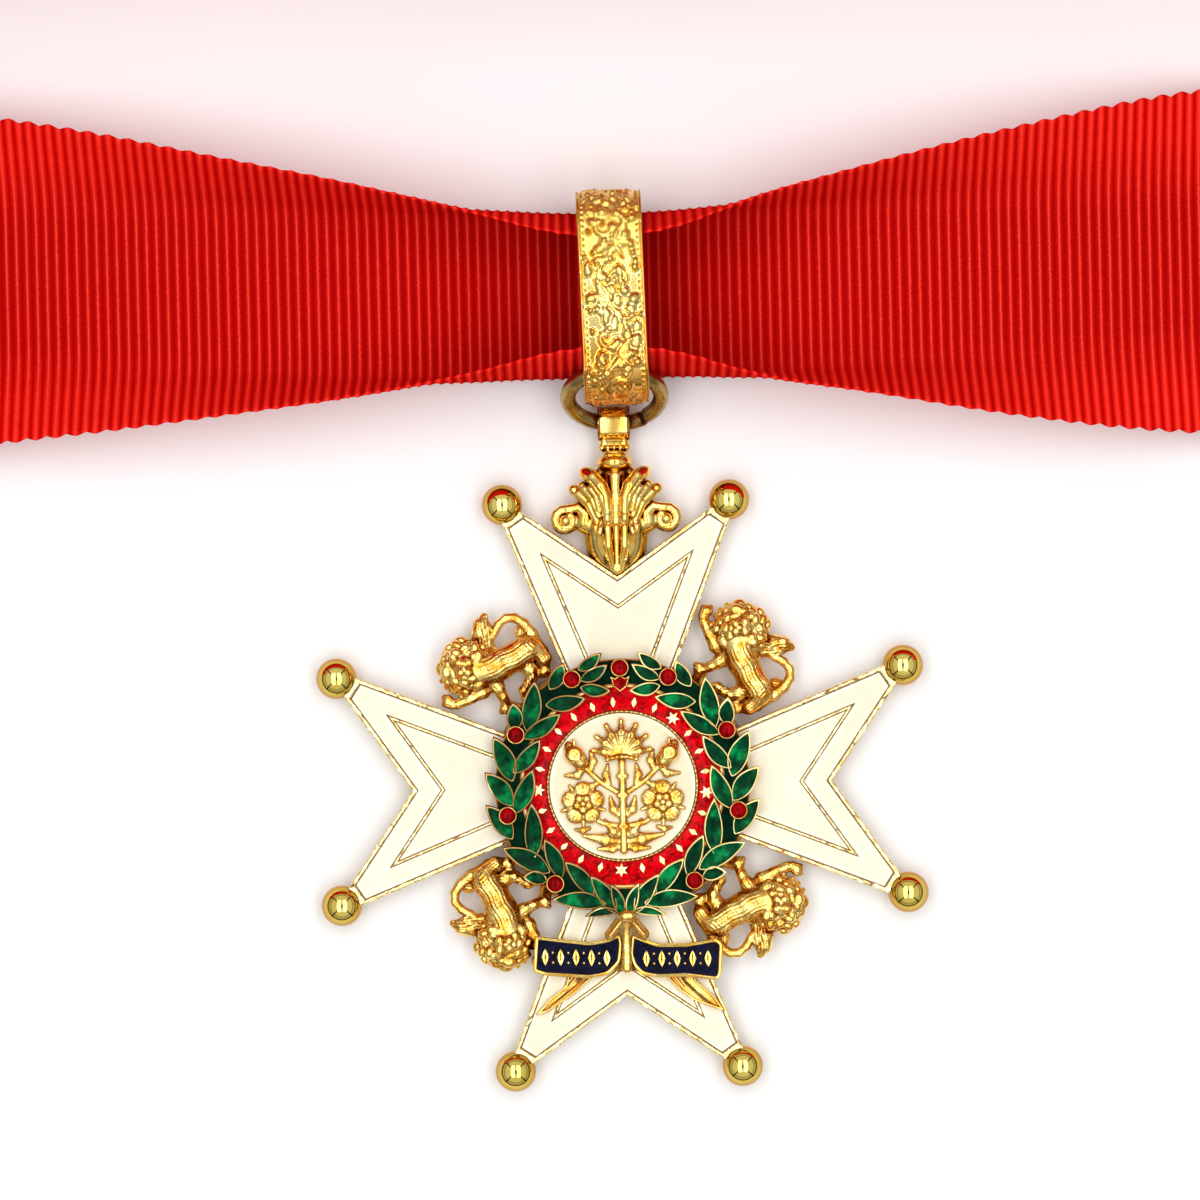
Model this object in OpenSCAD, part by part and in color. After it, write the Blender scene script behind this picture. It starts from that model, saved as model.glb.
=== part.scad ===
// Order neck badge: gilt and enamel eight pointed cross with lions, wreath and scroll,
// hung by a jump ring and an oval ring on a closed red neck ribbon, laid flat.
// Units are millimetres and +Z is up. The middle of the back plate's underside is the origin.

/* [Cross] */
// distance of the tip balls from the middle line of an arm
ball_x = 12.7; // [11:0.1:14]
// distance of the tip balls from the centre along the arm
ball_y = 31.7; // [29:0.1:34]
// diameter of the tip balls
ball_d = 4.6; // [3.8:0.1:5.2]
// height of the notch between the two points of an arm
notch_y = 23.5; // [22:0.1:25]
// half width to which the sides of an arm run at the centre
arm_root = 1.0; // [0.5:0.1:1.6]
// thickness of the plate under the enamel
plate_t = 1.6; // [1.2:0.1:2]
// height of the metal lines that hold the enamel
line_h = 0.8; // [0.6:0.1:1.1]
// width of the metal rim round an arm
rim_w = 0.65; // [0.5:0.05:0.8]
// width of the enamel band inside the rim
band_w = 1.95; // [1.6:0.05:2.2]
// width of the inner metal line
line_w = 0.5; // [0.35:0.05:0.7]
// radius of the boss that carries the medallion
boss_r = 12.9; // [12.5:0.1:13.1]

/* [Back] */
// radius of the plain back plate
back_r = 14.6; // [14.3:0.1:14.8]
// thickness of the plain back plate
back_t = 0.9; // [0.7:0.1:1.2]

/* [Medallion] */
// thickness of the medallion's metal disc
disc_t = 0.8; // [0.6:0.1:1.2]
// radius of the pale centre
centre_r = 8.1; // [7.7:0.1:8.2]
// height of the pale centre over the disc
centre_h = 0.55; // [0.5:0.05:0.7]
// thickness of the red ring
ring_t = 0.4; // [0.3:0.05:0.45]
// radius on which the stars and lozenges of the red ring stand
ring_mark_r = 9.4; // [9.3:0.05:9.5]
// outer radius of a star
star_r = 0.8; // [0.6:0.05:0.9]
// height of the sprig in the centre
sprig_h = 1.0; // [0.8:0.05:1.3]

/* [Wreath] */
// thickness of the wreath's leaf layer
leaf_t = 0.8; // [0.6:0.05:1]
// depth of the green enamel in a leaf
leaf_depth = 0.35; // [0.25:0.05:0.45]
// width of the metal rim round a leaf
leaf_rim = 0.22; // [0.18:0.02:0.26]
// radius of the circle on which the berries sit
berry_pitch_r = 13.2; // [13.1:0.05:13.3]
// outer diameter of a berry's metal cup
berry_cup_d = 2.1; // [1.9:0.05:2.2]
// wall of a berry's metal cup
berry_wall = 0.22; // [0.2:0.02:0.3]
// height of a berry's cup over the leaves
berry_cup_h = 0.35; // [0.25:0.05:0.5]

/* [Scroll and knot] */
// width of each half of the scroll
scroll_w = 9.6; // [8.8:0.1:10]
// height of the scroll
scroll_h = 4.3; // [3.9:0.1:4.6]
// distance of the scroll's middle line below the centre
scroll_drop = 19.2; // [18.9:0.1:19.6]
// gap between the two halves of the scroll
scroll_gap = 1.7; // [1.5:0.1:2]
// thickness of the scroll
scroll_t = 1.4; // [1.2:0.1:1.7]
// width of the scroll's metal frame
frame_w = 0.45; // [0.35:0.05:0.6]
// thickness of the scroll's pointed tails
tail_t = 0.6; // [0.4:0.1:0.9]

/* [Finial and jump ring] */
// width of the bail strap
bail_w = 3.5; // [3.0:0.1:3.6]
// thickness of the bail strap
bail_t = 0.7; // [0.6:0.05:0.75]
// radius of the hole in the bail
bail_hole_r = 1.24; // [1.2:0.02:1.3]
// radius of the jump ring's middle line
jump_r = 5.175; // [5.1:0.025:5.25]
// diameter of the jump ring's wire
jump_wire = 1.75; // [1.5:0.05:1.8]
// tilt of the jump ring from the table
jump_tilt = 57; // [56:0.5:58]
// length of the split in the jump ring
jump_split = 0.35; // [0.2:0.05:0.8]

/* [Ribbon ring] */
// room for the ribbon beyond each fold, up to the end of the ribbon ring
loop_room = 5.5; // [5.45:0.05:5.9]
// depth of the ribbon ring from front to back
loop_d = 14.6; // [14.5:0.1:15.2]
// width of the ribbon ring's band
loop_w = 7.2; // [6.8:0.1:7.4]
// thickness of the ribbon ring's band
loop_t = 0.9; // [0.8:0.05:0.95]
// height of the relief on the ribbon ring
relief_h = 0.25; // [0.15:0.05:0.3]
// corner radius of the ribbon ring
loop_corner = 5; // [4.6:0.1:5.4]
// lean of the ribbon ring against the cross
loop_lean = 1.2; // [0:0.1:1.5]

/* [Ribbon] */
// width of the ribbon laid flat
ribbon_w = 39; // [38.4:0.1:39.2]
// thickness of the ribbon
ribbon_t = 1.0; // [1:0.05:1.1]
// distance of the standing back run from the centre of the cross
back_run_y = 104; // [100:1:120]
// half length of the front run before it turns round
front_half = 106; // [100:1:118]

/* [Clasp] */
// length of the clasp along the ribbon
clasp_l = 9; // [7:0.5:14]
// wall of the clasp's sleeve
clasp_wall = 0.8; // [0.8:0.1:1.4]

/* [Hidden] */
fit = 0.05;
free_gap = 0.12;
plate_z = back_t;
field_z = plate_z + plate_t;
top_z = field_z + line_h;
enamel_drop = 0.1;
ball_r = ball_d / 2;
tip_in = [ball_x - ball_r, ball_y - 0.43 * ball_r];
tip_out = [ball_x - 0.02 * ball_r, ball_y - 1.09 * ball_r];
tip_reach = 0.35 * ball_r;
arm_start = 9;
side_slope = (tip_out.x - arm_root) / tip_out.y;
side_len = sqrt(1 + side_slope * side_slope);
notch_slope = (tip_in.y - notch_y) / tip_in.x;
notch_len = sqrt(1 + notch_slope * notch_slope);

medal_r = boss_r + 0.5;
disc_z = top_z;
deck_z = disc_z + disc_t;
foot_h = ring_t + 2 * fit;
leaf_z = deck_z + foot_h;
leaf_top = leaf_z + leaf_t;
foot_in = 11.05;
foot_out = 13.8;
foot_n = 72;
leaf_lap = 0.45;
rim_ring_w = 0.3;
ring_mark_n = 25;
ring_mark_start = -91.5;
ring_star_at = [0, 9, 13, 19];
lozenge = [0.34, 0.62];
berry_r = berry_cup_d / 2 - berry_wall;
cup_top = leaf_top + berry_cup_h;
cup_floor = leaf_z + 0.3;
berry_angle = [0, 24, 63, 103, 144];
berry_n = 20;
berry_proud = 0.35;

mane = [-17.2, 13.9, 2.8];
mane_r = 2.75;
muzzle = [-17.6, 13.1, 4.1];
muzzle_r = 1.15;

rose = [4.2, -1.9];
petal_r = 0.95;
petal_pitch_r = 1.35;
bud = [4.4, 2.5];
bloom_y = 4.3;
bloom_r = 1.25;
bead_step = 0.95;

scroll_z = top_z;
scroll_pocket = 0.5;
knot_y = -14.4;
knot_r = 1.15;

volute = [5.7, 29.9];
collar_y = 36.0;
collar_len = 0.9;
bead_y = 37.4;
neck_y = 38.2;

bail_y = 40.57;
bail_z = 2.3;
bail_r = bail_hole_r + bail_t;
jump_x = 0.15;
jump_y = 43.35;
jump_z = 6.45;
wire_r = jump_wire / 2;

loop_x = 0.2;
loop_foot_y = 42.5;
vine_r = 0.5;
vine_step = 1.5;
vine_n = 10;

half_w = ribbon_w / 2;
flange = 13.15;
fold_start = half_w - flange;
fold_len = 5.0;
loop_l = 2 * (fold_start + loop_room);
loop_y = loop_foot_y + loop_l / 2;
twist_start = 66;
twist_len = 80;
floor_z = ribbon_t / 2;
back_half = 40;
bed_z = loop_t + relief_h + 2 * fit + ribbon_t / 2;
clasp_room = 0.15;

gold = [0.93, 0.72, 0.25];
cream = [0.95, 0.92, 0.82];
green = [0.03, 0.4, 0.2];
red = [0.8, 0.05, 0.08];
navy = [0.07, 0.08, 0.25];
cloth = [0.82, 0.08, 0.06];

// one row per leaf of a side: base angle, base radius, tip angle, tip radius, width
LEAVES = [
    [175.0, 14.0, 162.5, 15.1, 1.05],
    [168.0, 13.3, 146.5, 14.9, 1.9],
    [139.2, 13.6, 130.5, 15.1, 1.55],
    [136.0, 12.7, 115.5, 15.1, 2.1],
    [112.5, 13.7, 96.3, 15.4, 2.0],
    [97.0, 12.7, 82.8, 15.45, 2.1],
    [84.0, 12.5, 67.5, 15.45, 2.2],
    [60.5, 13.7, 51.0, 15.4, 1.8],
    [56.5, 12.5, 38.2, 15.3, 2.1],
    [34.5, 13.6, 24.0, 15.25, 1.65],
    [18.5, 13.9, 7.5, 15.05, 1.4],
    [19.0, 12.7, 5.2, 13.65, 1.45],
    [176.8, 13.2, 173.8, 10.6, 1.25],
    [172.0, 12.9, 158.5, 10.55, 1.8],
    [162.0, 12.3, 140.5, 10.55, 1.8],
    [143.5, 12.1, 122.0, 10.5, 1.8],
    [125.5, 12.5, 98.5, 10.3, 2.0],
    [101.0, 12.1, 77.5, 10.15, 2.0],
    [80.0, 12.0, 58.5, 10.5, 1.8],
    [61.0, 12.0, 38.5, 10.55, 1.8],
    [40.5, 12.2, 20.7, 10.55, 1.8],
    [20.5, 11.8, 4.9, 10.65, 1.45],
];

// lion of the upper left corner, one row per limb: from x, y, z, radius, to x, y, z, radius
LION = [
    [-14.8, 14.0, 2.7, 1.75, -10.9, 15.6, 2.6, 1.55],
    [-10.4, 15.5, 2.5, 1.65, -9.3, 15.0, 2.5, 1.5],
    [-9.4, 15.1, 2.5, 1.25, -8.1, 14.2, 2.4, 1.0],
    [-8.1, 14.2, 2.4, 0.95, -8.6, 13.1, 2.1, 0.85],
    [-10.5, 15.2, 2.4, 1.25, -10.5, 13.0, 2.2, 0.9],
    [-10.5, 13.0, 2.2, 0.9, -10.3, 10.1, 1.5, 0.85],
    [-14.6, 13.4, 2.5, 1.3, -13.5, 10.9, 2.3, 0.9],
    [-13.5, 10.9, 2.3, 0.9, -11.3, 8.6, 1.5, 0.85],
    [-16.2, 12.8, 2.5, 1.2, -16.8, 10.7, 2.3, 0.9],
    [-16.8, 10.7, 2.3, 0.9, -19.0, 9.95, 2.0, 0.85],
    [-9.7, 16.6, 2.4, 0.8, -11.7, 19.0, 2.3, 0.7],
    [-11.7, 19.0, 2.3, 0.7, -13.7, 18.2, 2.3, 0.7],
    [-13.7, 18.2, 2.3, 0.7, -15.1, 19.1, 2.3, 0.95],
];

// curls of the mane round the face: angle, distance, radius
CURLS = [
    [20, 2.2, 1.2], [80, 2.2, 1.2], [140, 2.2, 1.2], [200, 2.2, 1.2],
    [260, 2.2, 1.2], [320, 2.2, 1.2],
];

// acanthus limbs of the right side: from x, y, z, radius, to x, y, z, radius
ACANTHUS = [
    [0.0, 24.6, 3.9, 0.7, 0.0, 28.0, 3.7, 2.0],
    [0.0, 28.0, 3.7, 2.0, 0.0, 35.2, 2.9, 1.6],
    [1.0, 26.8, 3.0, 1.2, 4.4, 28.6, 2.8, 1.1],
    [4.4, 28.6, 2.8, 1.1, 7.0, 30.4, 2.6, 0.8],
    [0.8, 30.0, 3.0, 1.2, 4.3, 32.9, 2.6, 0.95],
    [4.3, 32.9, 2.6, 0.95, 5.3, 32.2, 2.5, 0.6],
    [0.6, 32.0, 3.0, 1.2, 3.0, 34.7, 2.5, 0.8],
];

// right side of the flat leaf behind the acanthus limbs, from its foot up
ACANTHUS_EDGE = [[0.9, 23.3], [3.4, 25.2], [6.0, 27.2], [7.4, 29.2], [7.2, 31.2], [5.6, 31.6], [5.9, 33.2],
    [4.8, 34.0], [4.2, 35.4], [2.9, 35.6], [1.9, 36.6]];

// right pointed tail of the scroll, from the scroll's middle
TAIL = [[2.6, -1.3], [6.8, -1.3], [8.4, -3.5], [10.4, -5.9], [7.6, -4.6], [5.2, -3.6]];

// fold of the ribbon beside the ring: distance along the front, angle of its turned up sides
FOLD_RIGHT = [[0, 109], [5, 109], [10, 102], [16, 92], [30, 75], [50, 49], [66, 24], [82, 0]];
FOLD_LEFT = [[0, 109], [5, 109], [10, 104], [17, 96], [29, 83], [45, 65], [68, 37], [88, 8], [100, 0]];
// middle line of the ribbon along the front, over the middle of the ribbon ring
MIDDLE = [[-90, 4.1], [-68, 3.6], [-40, 2.05], [-20, 1.0], [-8, 0.45], [8, 0.5], [30, 1.25], [66, 2.55], [90, 3]];
// distances along the front at which the ribbon is drawn
STEPS = [0, 3, 6, 9, 12, 16, 20, 25, 30, 35, 40, 45, 50, 55, 60, 66, 72, 78, 84, 90, 96, 101];
// distances from the middle at which the ribbon is drawn, on the flat, through the fold and at the edge
ACROSS = concat([fold_start / 2], [for (k = [0.07, 0.38, 0.7, 1.02]) fold_start + k * fold_len], [half_w]);

function unit(v) = v / norm(v);
function left_of(v) = [-v.y, v.x];
function meet(p, u, q, v) =
    p + u * (((q.x - p.x) * v.y - (q.y - p.y) * v.x) / (u.x * v.y - u.y * v.x));
function clamp(v) = min(1, max(0, v));
function ease(v) = clamp(v) * clamp(v) * (3 - 2 * clamp(v));
function backward(list) = [for (i = [len(list) - 1:-1:0]) list[i]];
function polar(angle, r) = [r * sin(angle), r * cos(angle)];
function round_pts(r, n) = [for (i = [0:n - 1]) [r * cos(i * 360 / n), r * sin(i * 360 / n)]];

// inset of a counter-clockwise outline with straight sides
function shrink(pts, d) = [for (i = [0:len(pts) - 1])
    let (a = pts[(i + len(pts) - 1) % len(pts)], b = pts[i], c = pts[(i + 1) % len(pts)],
        u = unit(b - a), v = unit(c - b))
    meet(b + left_of(u) * d, u, b + left_of(v) * d, v)];

// outline of an arm, inset by d, with a sharp point and with the point cut for its ball
function side_x(y, d) = arm_root + side_slope * y - d * side_len;
function corner_x(d) =
    (arm_root + side_slope * (notch_y - d * notch_len) - d * side_len) / (1 - side_slope * notch_slope);
function corner(d) = [corner_x(d), notch_y + notch_slope * corner_x(d) - d * notch_len];
function arm_sharp(d) = [
    [-side_x(arm_start, d), arm_start], [side_x(arm_start, d), arm_start], corner(d),
    [0, notch_y - d * notch_len], [-corner_x(d), corner(d).y]];
tip_dir = unit(tip_in - tip_out);
function cut_side(d, t) = meet(tip_out + left_of(tip_dir) * t, tip_dir, corner(d), [side_slope, 1]);
function cut_notch(d, t) = meet(tip_out + left_of(tip_dir) * t, tip_dir, corner(d), [1, notch_slope]);
function arm_cut(d, t) = [
    [-side_x(arm_start, d), arm_start], [side_x(arm_start, d), arm_start],
    cut_side(d, t), cut_notch(d, t), [0, notch_y - d * notch_len],
    [-cut_notch(d, t).x, cut_notch(d, t).y], [-cut_side(d, t).x, cut_side(d, t).y]];

// outline of a leaf from its base to its tip, pointed at both ends
LENS = [[0, 0.12], [0.12, 0.6], [0.3, 0.93], [0.5, 1], [0.7, 0.86], [0.87, 0.5], [1, 0.05]];
function leaf(row, side, d) =
    let (a = polar(side * row[0], row[1]), b = polar(side * row[2], row[3]),
        u = unit(b - a), p = a + u * d * 1.2, q = b - u * d * 2.2, n = left_of(u),
        h = row[4] / 2 - d)
    concat([for (k = LENS) p + (q - p) * k[0] - n * h * k[1]],
        [for (k = backward(LENS)) p + (q - p) * k[0] + n * h * k[1]]);

module limb(row) {
    hull() {
        translate([row[0], row[1], row[2]])
            sphere(r = row[3], $fn = 8);
        translate([row[4], row[5], row[6]])
            sphere(r = row[7], $fn = 8);
    }
}

module back_plate() {
    color(gold)
        cylinder(r = back_r, h = back_t, $fn = 96);
}

module arm_band(g) {
    difference() {
        polygon(arm_cut(rim_w + g, rim_w + g));
        polygon(arm_sharp(rim_w + band_w - g));
        circle(r = boss_r + g, $fn = 96);
    }
}

module arm_field(g) {
    difference() {
        polygon(arm_sharp(rim_w + band_w + line_w + g));
        circle(r = boss_r + g, $fn = 96);
    }
}

module cross() {
    color(gold)
        difference() {
            union() {
                translate([0, 0, plate_z])
                    linear_extrude(plate_t + line_h) {
                        circle(r = boss_r, $fn = 96);
                        for (a = [0:90:270])
                            rotate(a)
                                polygon(arm_cut(0, -tip_reach));
                    }
                for (a = [0:90:270])
                    for (s = [-1, 1])
                        rotate(a)
                            translate([s * ball_x, ball_y, ball_r])
                                sphere(r = ball_r, $fn = 48);
            }
            translate([0, 0, field_z])
                linear_extrude(line_h + ball_d)
                    for (a = [0:90:270])
                        rotate(a) {
                            arm_band(0);
                            arm_field(0);
                        }
        }
}

module enamel_arm(turn) {
    color(cream)
        rotate(turn)
            translate([0, 0, field_z])
                linear_extrude(line_h - enamel_drop) {
                    arm_band(fit);
                    arm_field(fit);
                }
}

module lion(turn) {
    color(gold)
        rotate(turn)
            intersection() {
                union() {
                    for (row = LION)
                        limb(row);
                    translate(mane)
                        scale([1, 1, 0.72])
                            sphere(r = mane_r, $fn = 10);
                    translate(muzzle)
                        sphere(r = muzzle_r, $fn = 10);
                    for (c = CURLS)
                        translate([mane.x + c[1] * cos(c[0]), mane.y + c[1] * sin(c[0]), mane.z + 0.3])
                            sphere(r = c[2], $fn = 7);
                }
                translate([-24, 5, plate_z])
                    cube([19, 18, 8]);
            }
}

module ring_mark(i, g) {
    rotate(-(ring_mark_start + i * 360 / ring_mark_n))
        translate([0, ring_mark_r])
            if (len([for (k = ring_star_at) if (k == i) k]) > 0)
                polygon([for (j = [0:11])
                    let (r = (j % 2 == 0 ? star_r : 0.5 * star_r) + g)
                    [r * cos(30 * j), r * sin(30 * j)]]);
            else
                polygon([[lozenge.x + g, 0], [0, lozenge.y + g], [-lozenge.x - g, 0], [0, -lozenge.y - g]]);
}

module medallion() {
    color(gold)
        union() {
            translate([0, 0, disc_z])
                cylinder(r = medal_r, h = disc_t, $fn = 96);
            translate([0, 0, disc_z + disc_t / 2])
                linear_extrude(disc_t / 2 + centre_h + 0.05)
                    difference() {
                        circle(r = centre_r + fit + rim_ring_w, $fn = 96);
                        circle(r = centre_r + fit, $fn = 96);
                    }
            translate([0, 0, disc_z + disc_t / 2])
                linear_extrude(disc_t / 2 + ring_t + fit)
                    for (i = [0:ring_mark_n - 1])
                        ring_mark(i, 0);
        }
}

module red_ring() {
    color(red)
        translate([0, 0, deck_z])
            linear_extrude(ring_t)
                difference() {
                    circle(r = foot_in - fit, $fn = 96);
                    circle(r = centre_r + rim_ring_w + 2 * fit, $fn = 96);
                    for (i = [0:ring_mark_n - 1])
                        ring_mark(i, fit);
                }
}

module centre_disc() {
    color(cream)
        translate([0, 0, deck_z])
            cylinder(r = centre_r, h = centre_h, $fn = 96);
}

module sprig() {
    base = deck_z + centre_h;
    color(gold)
        intersection() {
            union() {
                limb([0, -6.9, base, 0.4, 0, bloom_y - 1, base, 0.5]);
                // domed bloom over the staff
                translate([0, bloom_y, base])
                    scale([2, 1.35, 0.8])
                        sphere(r = bloom_r, $fn = 12);
                for (k = [-2:2])
                    translate([k * bead_step, bloom_y - bloom_r, base])
                        sphere(r = 0.55, $fn = 8);
                translate([0, bloom_y + 1.65 * bloom_r, base])
                    sphere(r = 0.55, $fn = 8);
                for (s = [-1, 1]) {
                    // rose on its stem
                    limb([0, -4.9, base, 0.35, s * (rose.x - 0.2), rose.y - 0.4, base, 0.4]);
                    translate([s * rose.x, rose.y, base])
                        sphere(r = petal_r, $fn = 10);
                    for (a = [18:72:360])
                        translate([s * rose.x + petal_pitch_r * cos(a), rose.y + petal_pitch_r * sin(a), base])
                            sphere(r = petal_r, $fn = 8);
                    // bud on its stem with a leaf on either side
                    limb([0, -1.2, base, 0.35, s * bud.x, bud.y, base, 0.4]);
                    limb([s * bud.x, bud.y, base, 1.0, s * (bud.x + 0.8), bud.y + 1.8, base, 0.55]);
                    limb([s * 1.3, -0.3, base, 0.3, s * 1.9, 1.6, base, 0.5]);
                    limb([s * 3.6, 1.3, base, 0.35, s * 5.9, 1.2, base, 0.45]);
                    // leaves at the foot
                    limb([0, -6.1, base, 0.4, s * 3.6, -5.6, base, 0.65]);
                    limb([0, -5.6, base, 0.35, s * 2.4, -4.6, base, 0.5]);
                }
            }
            translate([-centre_r, -centre_r, base])
                cube([2 * centre_r, 2 * centre_r, sprig_h]);
        }
}

module berry_spots() {
    for (s = [-1, 1])
        for (a = berry_angle)
            if (a > 0 || s > 0)
                translate(polar(s * a, berry_pitch_r))
                    children();
}

module leaf_fill(g) {
    difference() {
        for (s = [-1, 1])
            for (row = LEAVES)
                polygon(leaf(row, s, leaf_rim + g));
        berry_spots()
            polygon(round_pts(berry_cup_d / 2 + free_gap, berry_n));
    }
}

module wreath() {
    color(gold)
        difference() {
            union() {
                translate([0, 0, deck_z])
                    linear_extrude(foot_h + leaf_t / 2)
                        difference() {
                            polygon(round_pts(foot_out, foot_n));
                            polygon(round_pts(foot_in, foot_n));
                        }
                translate([0, 0, leaf_z])
                    linear_extrude(leaf_t) {
                        for (s = [-1, 1])
                            for (row = LEAVES)
                                polygon(leaf(row, s, 0));
                        difference() {
                            polygon(round_pts(foot_out + leaf_lap, foot_n));
                            polygon(round_pts(foot_in + leaf_lap / 2, foot_n));
                        }
                    }
                translate([0, 0, leaf_z])
                    linear_extrude(leaf_t + berry_cup_h)
                        berry_spots()
                            polygon(round_pts(berry_cup_d / 2, berry_n));
            }
            translate([0, 0, leaf_top - leaf_depth])
                linear_extrude(leaf_depth + 0.1)
                    leaf_fill(0);
            translate([0, 0, cup_floor])
                linear_extrude(leaf_t + berry_cup_h)
                    berry_spots()
                        polygon(round_pts(berry_r, berry_n));
        }
}

module wreath_leaves() {
    color(green)
        translate([0, 0, leaf_top - leaf_depth])
            linear_extrude(leaf_depth - 0.03)
                leaf_fill(fit);
}

module berries() {
    dome_r = 2 * berry_r;
    room = fit / cos(180 / berry_n) + berry_r * (1 - cos(180 / berry_n));
    color(red)
        berry_spots()
            translate([0, 0, cup_floor])
                intersection() {
                    cylinder(r = berry_r - room, h = 2 * dome_r, $fn = 24);
                    translate([0, 0, cup_top - cup_floor + berry_proud - dome_r])
                        sphere(r = dome_r, $fn = 48);
                }
}

module knot() {
    color(gold)
        difference() {
            union() {
                limb([0, knot_y, leaf_top + 0.5, knot_r, 0, knot_y - 0.3, leaf_top + 0.5, knot_r]);
                limb([0, knot_y - 0.4, leaf_top + 0.4, 0.6, 0, -17.0, scroll_z + scroll_t + 0.35, 0.6]);
                limb([0, -17.0, scroll_z + scroll_t + 0.35, 0.6, 0, -21.0, scroll_z + scroll_t + 0.25, 0.55]);
                for (s = [-1, 1]) {
                    limb([0, knot_y - 0.3, leaf_top + 0.4, 0.6, s * 1.7, -15.9, leaf_top + 0.2, 0.5]);
                    limb([s * 1.7, -15.9, leaf_top + 0.2, 0.5, s * 2.5, -16.6, leaf_top - 0.1, 0.3]);
                }
            }
            cylinder(r = 15.6, h = leaf_top + fit);
            translate([-6, -24, 0])
                cube([12, 9, scroll_z + scroll_t + fit]);
        }
}

// one half of the scroll, s tells left from right, d insets it
function scroll_half(s, d) =
    let (x0 = scroll_gap / 2, x1 = scroll_gap / 2 + scroll_w, h = scroll_h / 2,
        right = [[x0, -h + 0.35], [x0 + 1.2, -h], [x1 - 3.5, -h + 0.25], [x1 - 0.35, -h - 0.25],
            [x1, 0.1], [x1 - 0.1, h - 0.2], [x1 - 3.5, h + 0.05], [x0 + 1.6, h - 0.35], [x0 - 0.1, h + 0.1],
            [x0 + 0.25, 0]],
        pts = shrink(right, d))
    s > 0 ? pts : [for (p = backward(pts)) [-p.x, p.y]];

module scroll() {
    color(gold)
        difference() {
            union() {
                translate([0, -scroll_drop, scroll_z])
                    linear_extrude(scroll_t) {
                        polygon(scroll_half(1, 0));
                        polygon(scroll_half(-1, 0));
                        translate([-1.5, -1.6])
                            square([3, 3.1]);
                    }
                translate([0, -scroll_drop, scroll_z])
                    linear_extrude(tail_t)
                        for (s = [-1, 1])
                            polygon([for (p = TAIL) [s * p.x, p.y]]);
            }
            translate([0, -scroll_drop, scroll_z + scroll_t - scroll_pocket])
                linear_extrude(scroll_t) {
                    polygon(scroll_half(1, frame_w));
                    polygon(scroll_half(-1, frame_w));
                }
        }
}

module scroll_enamel() {
    color(navy)
        translate([0, -scroll_drop, scroll_z + scroll_t - scroll_pocket])
            linear_extrude(scroll_pocket - 0.06) {
                polygon(scroll_half(1, frame_w + fit));
                polygon(scroll_half(-1, frame_w + fit));
            }
}

module bail_bar(r, w) {
    translate([-w / 2, bail_y, bail_z])
        rotate([0, 90, 0])
            cylinder(r = r, h = w, $fn = 24);
}

module finial() {
    color(gold)
        difference() {
            union() {
                for (row = ACANTHUS)
                    for (s = row[0] + row[4] > 0 ? [-1, 1] : [1])
                        limb([s * row[0], row[1], row[2], row[3], s * row[4], row[5], row[6], row[7]]);
                translate([0, 0, 1.2])
                    linear_extrude(1.3)
                        polygon(concat([for (p = ACANTHUS_EDGE) p], [for (p = backward(ACANTHUS_EDGE)) [-p.x, p.y]]));
                for (s = [-1, 1])
                    translate([s * volute.x, volute.y, 1.2])
                        cylinder(r1 = 1.5, r2 = 1.8, h = 2.8, $fn = 16);
                // collar and beads under the bail
                translate([0, collar_y, bail_z])
                    rotate([-90, 0, 0])
                        cylinder(r1 = 1.95, r2 = 1.5, h = collar_len, $fn = 16);
                limb([-1.1, bead_y, bail_z, 0.75, 1.1, bead_y, bail_z, 0.75]);
                limb([-0.8, neck_y, bail_z, 0.8, 0.8, neck_y, bail_z, 0.8]);
                bail_bar(bail_r, bail_w);
            }
            bail_bar(bail_hole_r, bail_w + 1);
            // seat in the notch of the upper arm
            translate([0, 0, -1])
                linear_extrude(top_z + 1 + fit)
                    polygon(arm_sharp(-fit));
            translate([-12, 20, -5])
                cube([24, 25, 5 + 0.25]);
        }
}

module jump_ring() {
    split = jump_split / jump_r * 180 / PI;
    color(gold)
        translate([jump_x, jump_y, jump_z])
            rotate([jump_tilt, 0, 0])
                rotate(-48)
                    rotate_extrude(angle = 360 - split, $fn = 72)
                        translate([jump_r, 0])
                            circle(r = wire_r, $fn = 24);
}

// outline of the ribbon ring seen along the ribbon, as points in length and depth
function rounded(l, d, r) = [for (c = [[1, 1, 0], [-1, 1, 90], [-1, -1, 180], [1, -1, 270]])
    for (a = [0:15:90])
        [c[0] * (l / 2 - r) + r * cos(c[2] + a), c[1] * (d / 2 - r) + r * sin(c[2] + a)]];

// point on the outside of the ribbon ring at a distance from the middle of its front, and its lift
function loop_at(s, x, lift) =
    let (flat = loop_l / 2 - loop_corner, e = max(0, abs(s) - flat), a = min(90, e / loop_corner * 180 / PI),
        down = max(0, e - loop_corner * PI / 2), r = loop_corner + lift, g = s < 0 ? -1 : 1)
    [x, g * (min(abs(s), flat) + r * sin(a)), loop_d / 2 - loop_corner + r * cos(a) - down];

// waved vine along the outside, k counts sixths of a wave
function vine_at(k, share, lift) = loop_at(k * vine_step, share * 0.24 * loop_w * sin(60 * k), lift);

module loop_slice(w, inset) {
    rotate([90, 0, 90])
        linear_extrude(w, center = true)
            polygon(rounded(loop_l - 2 * inset, loop_d - 2 * inset, loop_corner - inset));
}

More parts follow.
